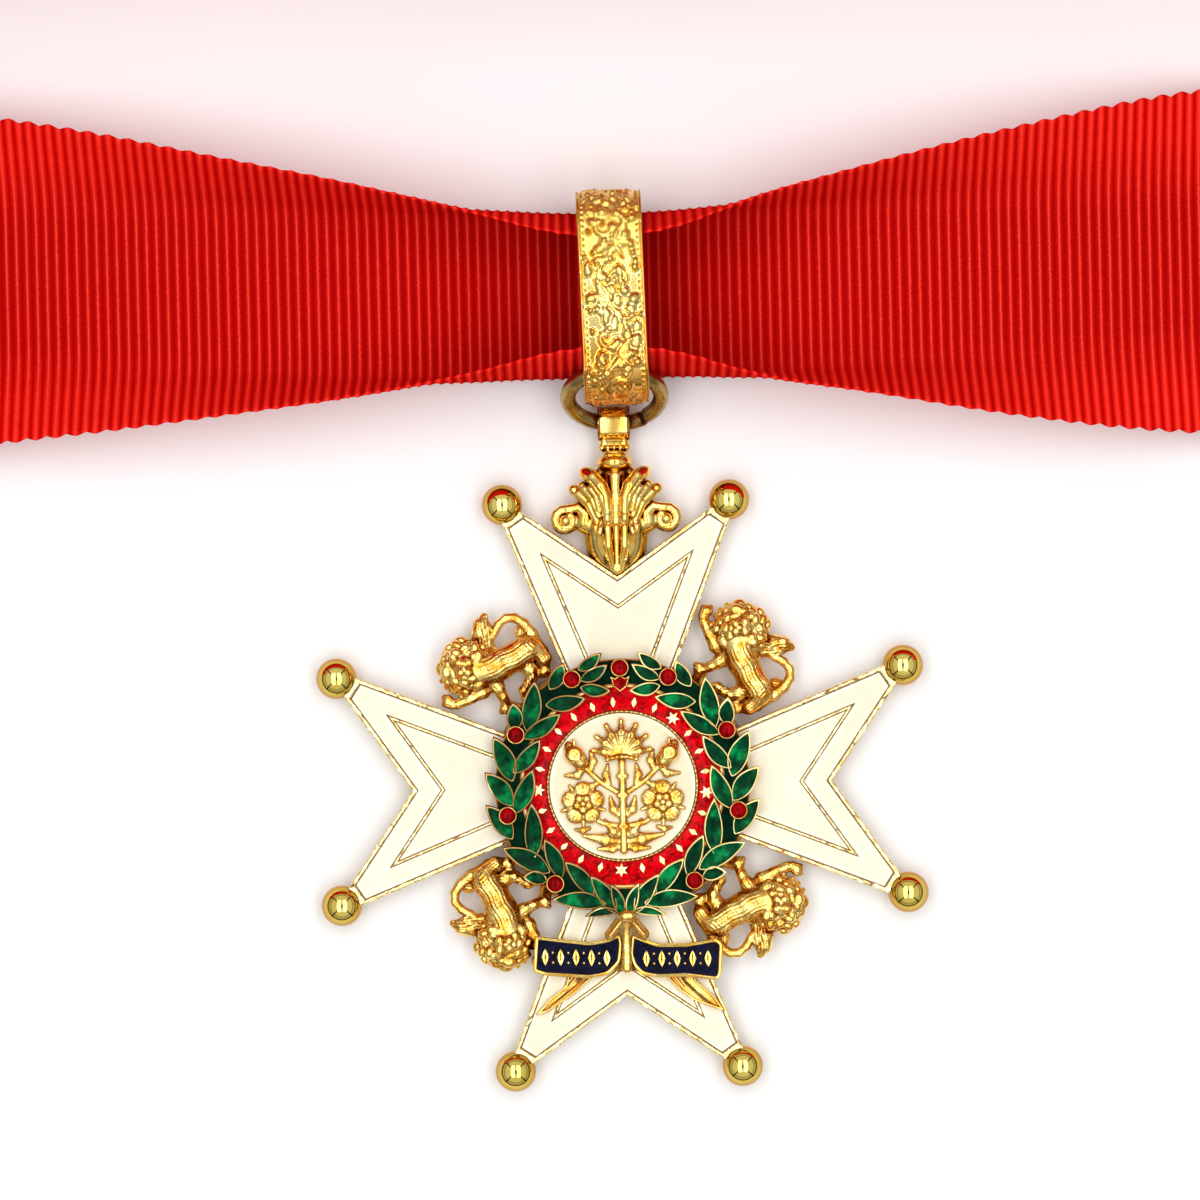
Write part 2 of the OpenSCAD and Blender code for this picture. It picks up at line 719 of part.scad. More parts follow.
module ribbon_ring() {
    wall = loop_t + relief_h;
    color(gold)
        translate([loop_x, loop_y, loop_d / 2])
            rotate(loop_lean)
                difference() {
                    union() {
                        loop_slice(loop_w, relief_h);
                        for (s = [-1, 1])
                            translate([s * (loop_w / 2 - 0.35), 0, 0])
                                loop_slice(0.7, 0);
                        // waved vine with a bud at each bend
                        for (i = [-vine_n:vine_n - 1])
                            hull()
                                for (k = [i, i + 1])
                                    translate(vine_at(k, 1, -vine_r))
                                        sphere(r = vine_r, $fn = 5);
                        for (k = [-vine_n + 1.5:3:vine_n])
                            translate(vine_at(k, -0.7, -vine_r))
                                scale([1.3, 1.6, 1])
                                    sphere(r = vine_r, $fn = 7);
                    }
                    loop_slice(loop_w + 2, wall);
                }
}

// the ribbon across its width: direction at a place, and the points up to it
function bend(t, a) = a * clamp((t - fold_start) / fold_len);
function half_run(a, k) = k < 0 ? [0, 0]
    : let (t0 = k == 0 ? 0 : ACROSS[k - 1], t1 = ACROSS[k], m = bend((t0 + t1) / 2, a))
    half_run(a, k - 1) + (t1 - t0) * [cos(m), sin(m)];
function half_side(a) = [for (k = [0:len(ACROSS) - 1])
    let (t = bend(ACROSS[k], a), p = half_run(a, k)) [p.x, p.y, t]];
// closed ring of points round the ribbon's section, outer edge first
function section(a) =
    let (plus = half_side(a), line = concat([for (p = backward(plus)) [-p.x, p.y, -p.z]], plus), h = ribbon_t / 2)
    concat([for (p = line) [p.x - h * sin(p.z), p.y + h * cos(p.z)]],
        [for (p = backward(line)) [p.x + h * sin(p.z), p.y - h * cos(p.z)]]);

function ribbon_edge(x) = loop_y + lookup(x, MIDDLE) - half_w;
function twist_at(run) = 90 * ease((run - twist_start) / twist_len);
// a station is the section's middle, its turn round the loop, its twist and its fold
function station(edge, run, turn, lift, fold) =
    let (t = twist_at(run), n = [-sin(turn), cos(turn)], c = edge + n * half_w * cos(t))
    [[c.x, c.y, lift * cos(t) + half_w * sin(t)], turn, t, lookup(run, fold)];
function front_place(x) = station([x, ribbon_edge(x)], abs(x), 0,
    bed_z + (floor_z - bed_z) * ease((abs(x) - 4) / 18), x < 0 ? FOLD_LEFT : FOLD_RIGHT);
// turn is 0 where the front ends and 180 where the back run starts
function corner_place(turn, s) =
    let (edge = ribbon_edge(s * front_half), r = (back_run_y - edge) / 2, a = s * turn)
    station([s * (front_half + r * sin(turn)), edge + r * (1 - cos(turn))],
        front_half + r * turn * PI / 180, a, floor_z, s > 0 ? FOLD_RIGHT : FOLD_LEFT);
PLACES = concat(
    [for (x = backward(STEPS)) if (x > 0) front_place(-x)],
    [for (x = STEPS) front_place(x)],
    [for (t = [0:10:170]) corner_place(t, 1)],
    [for (x = [front_half, back_half, -back_half]) [[x, back_run_y, half_w], 180, 90, 0]],
    [for (t = [180:-10:0]) corner_place(t, -1)]);
function put(place, p) =
    let (a = place[1], w = place[2], n = [-sin(a), cos(a)], u = p.x * cos(w) - p.y * sin(w),
        v = p.x * sin(w) + p.y * cos(w))
    [place[0].x + n.x * u, place[0].y + n.y * u, place[0].z + v];

module ribbon() {
    rings = [for (place = PLACES) [for (p = section(place[3])) put(place, p)]];
    n = len(rings);
    m = len(rings[0]);
    color(cloth)
        polyhedron(points = [for (r = rings) each r],
            faces = [for (i = [0:n - 1]) for (j = [0:m - 1])
                let (k = (i + 1) % n, l = (j + 1) % m)
                each [[i * m + j, k * m + l, k * m + j], [i * m + j, i * m + l, k * m + l]]]);
}

module clasp() {
    inner = ribbon_t + 2 * clasp_room;
    color(gold)
        difference() {
            translate([-clasp_l / 2, back_run_y - inner / 2 - clasp_wall, 0])
                cube([clasp_l, inner + 2 * clasp_wall, ribbon_w + clasp_room + clasp_wall]);
            translate([-clasp_l / 2 - 1, back_run_y - inner / 2, -1])
                cube([clasp_l + 2, inner, ribbon_w + clasp_room + 1]);
        }
}

back_plate();
cross();
enamel_arm(0);  // enamel_top
enamel_arm(-90);  // enamel_right
enamel_arm(180);  // enamel_bottom
enamel_arm(90);  // enamel_left
lion(0);  // lion_upper_left
lion(-90);  // lion_upper_right
lion(180);  // lion_lower_right
lion(90);  // lion_lower_left
medallion();
red_ring();
centre_disc();
sprig();
wreath();
wreath_leaves();
berries();
knot();
scroll();
scroll_enamel();
finial();
jump_ring();
ribbon_ring();
ribbon();
clasp();
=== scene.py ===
import math

import bmesh
import bpy
import numpy as np
import openvdb as vdb
from mathutils import Matrix, Vector


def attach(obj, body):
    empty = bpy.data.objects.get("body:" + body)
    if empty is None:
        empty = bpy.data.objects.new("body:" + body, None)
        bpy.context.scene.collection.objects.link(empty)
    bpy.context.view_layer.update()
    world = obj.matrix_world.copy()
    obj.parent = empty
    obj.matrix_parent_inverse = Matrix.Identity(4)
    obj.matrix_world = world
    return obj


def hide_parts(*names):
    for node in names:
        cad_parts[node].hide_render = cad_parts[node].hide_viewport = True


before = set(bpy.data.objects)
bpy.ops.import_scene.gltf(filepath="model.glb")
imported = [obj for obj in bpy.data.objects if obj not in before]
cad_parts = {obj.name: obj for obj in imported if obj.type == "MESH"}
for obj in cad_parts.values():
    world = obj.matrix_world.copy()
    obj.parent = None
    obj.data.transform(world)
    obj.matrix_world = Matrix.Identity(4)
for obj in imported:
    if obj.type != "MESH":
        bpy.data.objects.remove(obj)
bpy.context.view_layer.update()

MM = 0.001
TAU = 2 * math.pi
# radius that stands for the axis of a turned form
AXIS = 0.0001

# sizes shared with the solids, in millimetres
BALL_X, BALL_Y, BALL_R = 12.7, 31.7, 2.3
NOTCH_Y, ARM_ROOT, ARM_START, ENAMEL_START = 23.5, 1.0, 9.0, 11.6
RIM_W, BAND_W, LINE_W, BOSS_R = 0.55, 2.12, 0.36, 12.9
BACK_R, PLATE_Z, FIELD_Z, TOP_Z = 14.6, 0.9, 2.5, 3.3
DECK_Z, CENTRE_R, CENTRE_H, RING_T = 4.1, 8.1, 0.55, 0.4
MARK_R, MARK_N, MARK_START, STARS = 9.4, 25, -91.5, (0, 9, 13, 19)
LEAF_Z, LEAF_T = 4.6, 0.8
FOOT_IN, FOOT_OUT = 11.05, 13.8
BERRY_R, BERRY_CUP_R, BERRY_AT, BERRY_PITCH = 0.83, 1.05, (0, 24, 63, 103, 144), 13.2
SCROLL_Y, SCROLL_T, KNOT_Y = -19.2, 1.4, -14.4
BAIL_Y, BAIL_Z, BAIL_HOLE, BAIL_T, BAIL_W = 40.57, 2.3, 1.24, 0.7, 3.6
JUMP_C, JUMP_R, JUMP_WIRE, JUMP_TILT = (0.15, 43.35, 6.45), 5.175, 1.75, 57
LOOP_C, LOOP_L, LOOP_D, LOOP_W = (0.2, 54.35, 7.3), 23.7, 14.6, 7.2
LOOP_T, LOOP_CORNER, LOOP_LEAN, RELIEF = 0.9, 5.0, 1.2, 0.25
HALF_W, BACK_Y, FRONT_HALF = 19.5, 104.0, 106.0
FOLD_START, FOLD_LEN, TWIST_START, TWIST_LEN = 6.35, 5.0, 66.0, 80.0

# base angle, base radius, tip angle, tip radius and width of each leaf of a side
LEAVES = [
    (175.0, 14.0, 162.5, 15.1, 1.05), (168.0, 13.3, 146.5, 14.9, 1.9), (139.2, 13.6, 130.5, 15.1, 1.55),
    (136.0, 12.7, 115.5, 15.1, 2.1), (112.5, 13.7, 96.3, 15.4, 2.0), (97.0, 12.7, 82.8, 15.45, 2.1),
    (84.0, 12.5, 67.5, 15.45, 2.2), (60.5, 13.7, 51.0, 15.4, 1.8), (56.5, 12.5, 38.2, 15.3, 2.1),
    (34.5, 13.6, 24.0, 15.25, 1.65), (18.5, 13.9, 7.5, 15.05, 1.4), (19.0, 12.7, 5.2, 13.65, 1.45),
    (178.0, 14.2, 171.8, 10.9, 1.35), (174.5, 13.8, 158.5, 10.55, 1.75), (162.0, 12.3, 140.5, 10.55, 1.8),
    (143.5, 12.1, 122.0, 10.5, 1.8), (125.5, 12.5, 98.5, 10.3, 2.0), (101.0, 12.1, 77.5, 10.15, 2.0),
    (80.0, 12.0, 58.5, 10.5, 1.8), (61.0, 12.0, 38.5, 10.55, 1.8), (40.5, 12.2, 20.7, 10.55, 1.8),
    (20.5, 11.8, 4.9, 10.65, 1.45),
]
# distance along the front and angle of the turned up sides, right and left of the ring
FOLD_RIGHT = [(0, 109), (5, 109), (10, 100), (16, 88), (30, 71.5), (50, 45), (66, 21), (82, 0)]
FOLD_LEFT = [(0, 109), (5, 109), (10, 101), (17, 91), (29, 77), (45, 61), (68, 34), (88, 6), (100, 0)]
# height of the ribbon's middle line at places along the front
MIDDLE = [(-90, 58.45), (-68, 57.95), (-40, 56.4), (-20, 55.1), (-8, 54.8), (8, 54.85), (18, 55.03),
          (30, 55.55), (66, 56.9), (90, 57.35)]


# geometry helpers

class Shape:
    """Collects points, faces and a place on the flat sheet per point."""

    def __init__(self, points=(), faces=()):
        self.points, self.faces, self.uvs, self.count = [], [], [], 0
        if len(points):
            self.add(points, faces)

    def add(self, points, faces, uv=None):
        points = np.asarray(points, float).reshape(-1, 3)
        self.points.append(points)
        self.faces.extend([[int(i) + self.count for i in f] for f in faces])
        self.uvs.append(np.zeros((len(points), 2)) if uv is None else uv.reshape(-1, 2))
        self.count += len(points)


def skin(n, m, wrap_rows=False, wrap_cols=False):
    """Quads of a grid of n rows and m columns."""
    idx = np.arange(n * m).reshape(n, m)
    a, b = (idx, np.roll(idx, -1, 0)) if wrap_rows else (idx[:-1], idx[1:])
    if wrap_cols:
        quads = np.stack([a, np.roll(a, -1, 1), np.roll(b, -1, 1), b], -1)
    else:
        quads = np.stack([a[:, :-1], a[:, 1:], b[:, 1:], b[:, :-1]], -1)
    return quads.reshape(-1, 4).tolist()


def placed(name, data):
    """The object of a mesh, lamp or camera, linked to the scene."""
    obj = bpy.data.objects.new(name, data)
    bpy.context.scene.collection.objects.link(obj)
    return obj


def put(name, shape, mat, cad=None, angle=45, merge=0.0):
    """Makes the object of a shape, in its place, riding on the root. cad is the node it stands for."""
    mesh = bpy.data.meshes.new(name)
    mesh.from_pydata((np.vstack(shape.points) * MM).tolist(), [], shape.faces)
    layer = mesh.uv_layers.new(name="UVMap")
    loops = np.zeros(len(mesh.loops), np.int32)
    mesh.loops.foreach_get("vertex_index", loops)
    layer.data.foreach_set("uv", np.vstack(shape.uvs)[loops].astype(np.float32).ravel())
    mesh.shade_smooth()
    if merge:
        bm = bmesh.new()
        bm.from_mesh(mesh)
        bmesh.ops.remove_doubles(bm, verts=bm.verts, dist=merge * MM)
        bmesh.ops.dissolve_degenerate(bm, edges=bm.edges, dist=merge * MM)
        bm.to_mesh(mesh)
        bm.free()
    if angle:
        mesh.set_sharp_from_angle(angle=math.radians(angle))
    mesh.materials.append(mat)
    obj = placed(name, mesh)
    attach(obj, "root")
    if cad:
        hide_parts(cad)
    return obj


def turned(points, degrees):
    """Points turned in plan about the badge's middle."""
    a = math.radians(degrees)
    c, s = math.cos(a), math.sin(a)
    p = np.asarray(points, float).copy()
    p[..., 0], p[..., 1] = c * p[..., 0] - s * p[..., 1], s * p[..., 0] + c * p[..., 1]
    return p


def polar(angle, r):
    """Place at an angle clockwise from the top and a radius."""
    a = math.radians(angle)
    return np.array([r * math.sin(a), r * math.cos(a)])


def lathe(shape, profile, centre=(0, 0), n=96, closed=True, wobble=None):
    """Turns a profile of (r, z) points round the upright axis. A closed profile makes a ring."""
    a = (np.arange(n) * TAU / n)[:, None]
    r, z = (np.array(profile, float)[None, :, k] * np.ones((n, 1)) for k in (0, 1))
    if wobble:
        z = wobble(r, z, a)
    p = np.stack([centre[0] + r * np.cos(a), centre[1] + r * np.sin(a), z], -1)
    shape.add(p, skin(n, len(profile), True, closed))


def ball(shape, centre, r, rows=24, cols=48):
    """A round ball with a point at each pole."""
    lat = np.linspace(-math.pi / 2, math.pi / 2, rows + 1)[1:-1, None]
    lon = np.arange(cols) * TAU / cols
    p = np.stack([np.cos(lat) * np.cos(lon), np.cos(lat) * np.sin(lon), np.sin(lat) * np.ones(cols)], -1)
    faces = skin(rows - 1, cols, False, True)
    south = (rows - 1) * cols
    for i in range(cols):
        j = (i + 1) % cols
        faces += [[south, j, i], [south + 1, south - cols + i, south - cols + j]]
    shape.add(np.vstack([p.reshape(-1, 3), [[0, 0, -1], [0, 0, 1]]]) * r + np.array(centre), faces)


def loft(shape, loops):
    """Joins loops of the same number of points and closes both ends."""
    n, m = len(loops), len(loops[0])
    ends = [list(range(m))[::-1], [(n - 1) * m + i for i in range(m)]]
    shape.add(np.array(loops), skin(n, m, False, True) + ends)


def unit(v):
    return v / np.linalg.norm(v)


def left(u):
    """The direction a quarter turn left of u."""
    return np.array([-u[1], u[0]])


def meet(p, u, q, v):
    """Where the line through p along u meets the line through q along v."""
    return p + u * (((q[0] - p[0]) * v[1] - (q[1] - p[1]) * v[0]) / (u[0] * v[1] - u[1] * v[0]))


def shrink(pts, d):
    """Inset of a counter-clockwise outline with straight sides."""
    pts = np.asarray(pts, float)
    out = []
    for i, b in enumerate(pts):
        u, v = unit(b - pts[i - 1]), unit(pts[(i + 1) % len(pts)] - b)
        straight = abs(u[0] * v[1] - u[1] * v[0]) < 1e-6
        out.append(b + left(u) * d if straight else meet(b + left(u) * d, u, b + left(v) * d, v))
    return np.array(out)


def steps(a, b, n):
    """n points from a towards b, without b."""
    return [a + (b - a) * k / n for k in range(n)]


def split(pts, step):
    """Adds points along the straight sides of an outline."""
    out = []
    for a, b in zip(pts, np.roll(pts, -1, 0)):
        out += steps(a, b, max(1, int(round(np.linalg.norm(b - a) / step))))
    return np.array(out)


def raise_to(loop, z):
    """A plane loop at a height."""
    return np.column_stack([loop, np.full(len(loop), float(z))])


def tiers(shape, outline, rows):
    """A block whose outline is drawn in by rows of inset and height."""
    loft(shape, [raise_to(shrink(outline, d), z) for d, z in rows])


class Clay:
    """A distance field on a grid in millimetres, to which rounded forms are joined.

    side is -1 while forms are built on the other side of the badge's middle line."""

    def __init__(self, lo, hi, h):
        self.lo, self.h, self.side = np.array(lo, float), h, 1
        self.n = np.ceil((np.array(hi) - self.lo) / h).astype(int) + 1
        self.f = np.full(self.n, 2.0, np.float32)

    def part(self, lo, hi):
        """The slice of the grid between two corners, and its places."""
        i0 = np.clip(np.floor((np.array(lo) - self.lo) / self.h).astype(int), 0, self.n - 1)
        i1 = np.clip(np.ceil((np.array(hi) - self.lo) / self.h).astype(int) + 1, 1, self.n)
        axes = [self.lo[k] + self.h * np.arange(i0[k], i1[k]) for k in range(3)]
        grid = np.meshgrid(*axes, indexing="ij", sparse=True)
        return tuple(slice(a, b) for a, b in zip(i0, i1)), grid

    def mix(self, where, d, k):
        """Joins a distance to the form, rounded over k."""
        f = self.f[where]
        h = np.clip(0.5 + 0.5 * (f - d) / k, 0, 1)
        self.f[where] = f * (1 - h) + d * h - k * h * (1 - h)

    def rod(self, a, ra, b, rb, k, spare=0.0, flat=1.0):
        """Distance to a rod that goes from a ball at a to a ball at b, and the place it is for."""
        a, b = (np.array(p, float) * (self.side, 1, 1) for p in (a, b))
        r = max(ra, rb) + 2.5 * k + spare
        where, (x, y, z) = self.part(np.minimum(a, b) - r, np.maximum(a, b) + r)
        q = (b - a) * np.array([1, 1, 1 / flat])
        px, py, pz = x - a[0], y - a[1], (z - a[2]) / flat
        t = np.clip((px * q[0] + py * q[1] + pz * q[2]) / max(1e-9, float(q @ q)), 0, 1)
        d = np.sqrt((px - q[0] * t) ** 2 + (py - q[1] * t) ** 2 + (pz - q[2] * t) ** 2)
        return where, d - (ra + (rb - ra) * t)

    def limb(self, a, ra, b, rb, k=0.3, flat=1.0):
        """Adds a rod. flat squeezes its height."""
        where, d = self.rod(a, ra, b, rb, k, 0.3, flat)
        self.mix(where, d * min(1.0, 0.5 + flat / 2), k)

    def path(self, rows, k=0.3, flat=1.0):
        """Rods through rows of x, y, z and radius."""
        for a, b in zip(rows[:-1], rows[1:]):
            self.limb(a[:3], a[3], b[:3], b[3], k, flat)

    def egg(self, c, r, k=0.3, turn=0.0):
        """An egg with radii r, turned in plan."""
        c, r = np.array(c, float) * (self.side, 1, 1), np.array(r, float)
        turn = math.radians(turn * self.side)
        reach = np.array([max(r[:2]), max(r[:2]), r[2]]) + 2.5 * k + 0.3
        where, (x, y, z) = self.part(c - reach, c + reach)
        ca, sa = math.cos(turn), math.sin(turn)
        u, v, w = (x - c[0]) * ca + (y - c[1]) * sa, -(x - c[0]) * sa + (y - c[1]) * ca, z - c[2]
        q = np.sqrt((u / r[0]) ** 2 + (v / r[1]) ** 2 + (w / r[2]) ** 2)
        g = np.sqrt((u / r[0] ** 2) ** 2 + (v / r[1] ** 2) ** 2 + (w / r[2] ** 2) ** 2)
        self.mix(where, q * (q - 1) / np.maximum(g, 1e-6), k)

    def dent(self, a, ra, b, rb, k=0.15):
        """Takes a rod away, for grooves, eyes and mouths."""
        where, d = self.rod(a, ra, b, rb, k)
        f = self.f[where]
        h = np.clip(0.5 - 0.5 * (f + d) / k, 0, 1)
        self.f[where] = f * (1 - h) - d * h + k * h * (1 - h)

    def places(self):
        return self.part(self.lo, self.lo + self.n * self.h)[1]

    def cut(self, distance):
        """Keeps what lies outside a distance function of x, y, z."""
        self.f = np.maximum(self.f, -distance(*self.places())).astype(np.float32)

    def ripple(self, wave):
        """Adds a fine relief, a function of x, y, z, to the surface."""
        self.f = (self.f + wave(*self.places())).astype(np.float32)

    def above(self, z0):
        """Cuts the form flat below a height."""
        self.cut(lambda x, y, z: z - z0)

    def swell(self, amount):
        """Moves the whole surface out by an amount."""
        self.f = (self.f.astype(float) - amount).astype(np.float32)

    def mesh(self):
        """Points and faces of the form's surface."""
        f = self.f.copy()
        for axis in range(3):
            edge = [slice(None)] * 3
            for end in (0, -1):
                edge[axis] = end
                f[tuple(edge)] = np.maximum(f[tuple(edge)], 0.5 * self.h)
        grid = vdb.FloatGrid(2.0)
        grid.copyFromArray(f)
        grid.transform = vdb.createLinearTransform(voxelSize=self.h)
        p, tris, quads = grid.convertToPolygons(isovalue=0.0, adaptivity=0.02)
        return p + self.lo, [list(map(int, q)) for faces in (tris, quads) for q in faces]


# materials

def nodes_of(name):
    m = bpy.data.materials.new(name)
    m.use_nodes = True
    nt = m.node_tree
    return m, nt, nt.nodes["Principled BSDF"]


def fill(nt, n, sockets):
    """Sets sockets of a node to values, or links them to other sockets."""
    for k, v in sockets.items():
        if isinstance(v, bpy.types.NodeSocket):
            nt.links.new(v, n.inputs[k])
        else:
            n.inputs[k].default_value = v


def node(nt, kind, sockets=None, **settings):
    """A shader node with its settings, and its sockets set or linked."""
    n = nt.nodes.new("ShaderNode" + kind)
    for k, v in settings.items():
        setattr(n, k, v)
    fill(nt, n, sockets or {})
    return n


def maths(nt, operation, *terms):
    return node(nt, "Math", dict(enumerate(terms)), operation=operation).outputs[0]


def span(nt, value, lo, hi, a=0.0, b=1.0):
    """A value carried from the span lo to hi over to the span a to b."""
    ends = {"From Min": lo, "From Max": hi, "To Min": a, "To Max": b}
    return node(nt, "MapRange", {"Value": value, **ends}).outputs["Result"]


def mixed(nt, share, a, b, blend="MULTIPLY"):
    """Colour b over colour a, by a share."""
    return node(nt, "Mix", {0: share, 6: a, 7: b}, data_type="RGBA", blend_type=blend).outputs[2]


def places_of(nt, coord):
    """X, Y and Z of a texture coordinate."""
    return node(nt, "SeparateXYZ", {0: node(nt, "TexCoord").outputs[coord]}).outputs


def ramp(nt, fac, *stops):
    """Colour of a factor by stops, each a place with a colour or a grey."""
    n = node(nt, "ValToRGB", {"Fac": fac})
    el = n.color_ramp.elements
    while len(el) < len(stops):
        el.new(0.5)
    for e, (place, *colour) in zip(el, stops):
        e.position = place
        e.color = (*(colour if len(colour) == 3 else colour * 3), 1)
    return n.outputs["Color"]


def noise(nt, scale, detail=3.0, rough=0.5, stretch=(1, 1, 1), coord="Object"):
    """Noise in millimetres of wavelength, from the object's own coordinates or its UV map."""
    k = 1.0 if coord == "UV" else 1 / MM
    spot = node(nt, "Mapping", {"Vector": node(nt, "TexCoord").outputs[coord],
                                "Scale": [k * s / scale for s in stretch]}).outputs[0]
    look = {"Vector": spot, "Scale": 1.0, "Detail": detail, "Roughness": rough}
    return node(nt, "TexNoise", look).outputs["Fac"]


def bump(nt, bsdf, height, depth):
    """Bump of a height from 0 to 1 that stands for depth in millimetres."""
    normal = node(nt, "Bump", {"Height": height, "Strength": 1.0, "Distance": depth * MM}).outputs[0]
    fill(nt, bsdf, {"Normal": normal})
    return normal


def gold(name, bright, deep, rough, pits=0.012, grain=0.6, corner_shade=(0.3, 0.11, 0.02), reach=0.8, patch=1.7):
    """Gilding that is deeper in colour in patches, with painted shade in its corners and creases, and fine
    casting marks.
    """
    m, nt, s = nodes_of(name)
    col = ramp(nt, noise(nt, patch), (0.35, *deep), (0.62, *bright))
    # painted shade: the colour is darkened towards a shade colour where ambient occlusion finds corners and
    # nearby parts, and in creases by pointiness
    corner = node(nt, "AmbientOcclusion", {"Distance": reach * MM}, samples=6).outputs["AO"]
    bend = node(nt, "NewGeometry").outputs["Pointiness"]
    for value, lo, hi in ((corner, 0.3, 0.78), (bend, 0.43, 0.495)):
        col = mixed(nt, 1.0, col, ramp(nt, value, (lo, *corner_shade), (hi, 1.0)))
    dull = span(nt, noise(nt, 0.9, 2), 0.0, 1.0, rough * 0.75, rough * 1.35)
    fill(nt, s, {"Base Color": col, "Roughness": dull, "Metallic": 1.0, "Specular IOR Level": 0.5})
    bump(nt, s, noise(nt, grain, 4, 0.6), pits)
    return m


def shade_along(m, axis, lo, hi, *stops):
    """Paints shade into a material's colour: multiplies it by stops between two heights in mm of an axis."""
    nt = m.node_tree
    s = nt.nodes["Principled BSDF"]
    share = span(nt, places_of(nt, "Object")[axis], lo * MM, hi * MM)
    base = s.inputs["Base Color"].links[0].from_socket
    fill(nt, s, {"Base Color": mixed(nt, 1.0, base, ramp(nt, share, *stops))})
    return share


def enamel(name, stops, scale, rough, coat=0.6, pits=0.004, shine=0.5, grain=2.6):
    """Glossy enamel with slow waves in its surface."""
    m, nt, s = nodes_of(name)
    normal = bump(nt, s, noise(nt, grain, 2), pits)
    col = ramp(nt, noise(nt, scale), *stops)
    fill(nt, s, {"Base Color": col, "Roughness": rough, "Specular IOR Level": shine, "IOR": 1.52,
                 "Coat Weight": coat, "Coat Roughness": 0.03, "Coat Normal": normal})
    return m


GILT = gold("gilt", (1.0, 0.76, 0.24), (0.92, 0.5, 0.07), 0.13, corner_shade=(0.24, 0.08, 0.012), reach=1.0)
GILT_CAST = gold("gilt_cast", (1.0, 0.72, 0.23), (0.76, 0.33, 0.035), 0.13, pits=0.035, grain=0.3,
                 corner_shade=(0.24, 0.075, 0.012), reach=1.0, patch=1.2)
GILT_MIRROR = gold("gilt_mirror", (1.0, 0.8, 0.19), (0.96, 0.7, 0.13), 0.06, pits=0.001)
# painted reflection: the balls' colour is darkened to an orange band below their tops, round their rims as
# seen from above
shade_along(GILT_MIRROR, "Z", 2.3, 4.3, (0.0, 0.95, 0.8, 0.6), (0.22, 0.6, 0.3, 0.12), (0.52, 0.5, 0.3, 0.14),
     (0.6, 0.6, 0.52, 0.4), (0.8, 0.7, 0.66, 0.5), (0.86, 1.0))
GILT_LINE = gold("gilt_line", (1.0, 0.85, 0.48), (0.82, 0.55, 0.18), 0.16, pits=0.05, grain=0.4,
                 corner_shade=(0.5, 0.3, 0.1), reach=0.25, patch=0.5)
GILT_PALE = gold("gilt_pale", (1.0, 0.88, 0.45), (0.95, 0.7, 0.22), 0.3, grain=0.4, reach=0.3)
GILT_PLAIN = gold("gilt_plain", (0.93, 0.68, 0.28), (0.85, 0.55, 0.18), 0.3, pits=0.006)
OLIVE = gold("olive_gold", (0.58, 0.45, 0.17), (0.42, 0.3, 0.1), 0.26, pits=0.008)
CREAM = enamel("cream_enamel", [(0.3, 0.93, 0.85, 0.64), (0.7, 0.97, 0.91, 0.73)], 6.0, 0.22)
PALE_E = enamel("pale_enamel", [(0.3, 0.92, 0.8, 0.52), (0.7, 0.97, 0.88, 0.64)], 4.0, 0.22)
RED_E = enamel("red_enamel", [(0.36, 0.24, 0.0, 0.001), (0.6, 0.78, 0.0, 0.004)], 0.6, 0.35, 0.12, 0.05,
               0.0, 0.4)
# uneven green enamel; its brightest noise patches are painted highlights
GREEN_E = enamel("green_enamel", [(0.38, 0.0, 0.024, 0.009), (0.54, 0.0, 0.07, 0.02),
                                  (0.68, 0.0, 0.27, 0.07)], 1.5, 0.3, 0.06, 0.015, 0.0, 1.2)
DARK_GREEN = enamel("dark_green_enamel", [(0.35, 0.0, 0.008, 0.004), (0.65, 0.0, 0.025, 0.01)], 1.0, 0.3,
                    0.05, shine=0.02)
BERRY_E = enamel("berry_enamel", [(0.35, 0.14, 0.0, 0.001), (0.65, 0.42, 0.0, 0.002)], 0.9, 0.2, 0.07,
                 shine=0.0)
NAVY_E = enamel("navy_enamel", [(0.35, 0.002, 0.002, 0.012), (0.65, 0.005, 0.006, 0.028)], 1.5, 0.15,
                0.3, 0.03, 0.2, 0.7)


# ribbon

# pitch of the ribs, and pitch and depth of the selvedge's loops
RIB = 1.125
SELVEDGE, LOOP_DEPTH = 2 * RIB, 0.48
# height of the ribbon's middle over the table under the ring, and beside it
RAISED, LAID = 1.75, 0.5


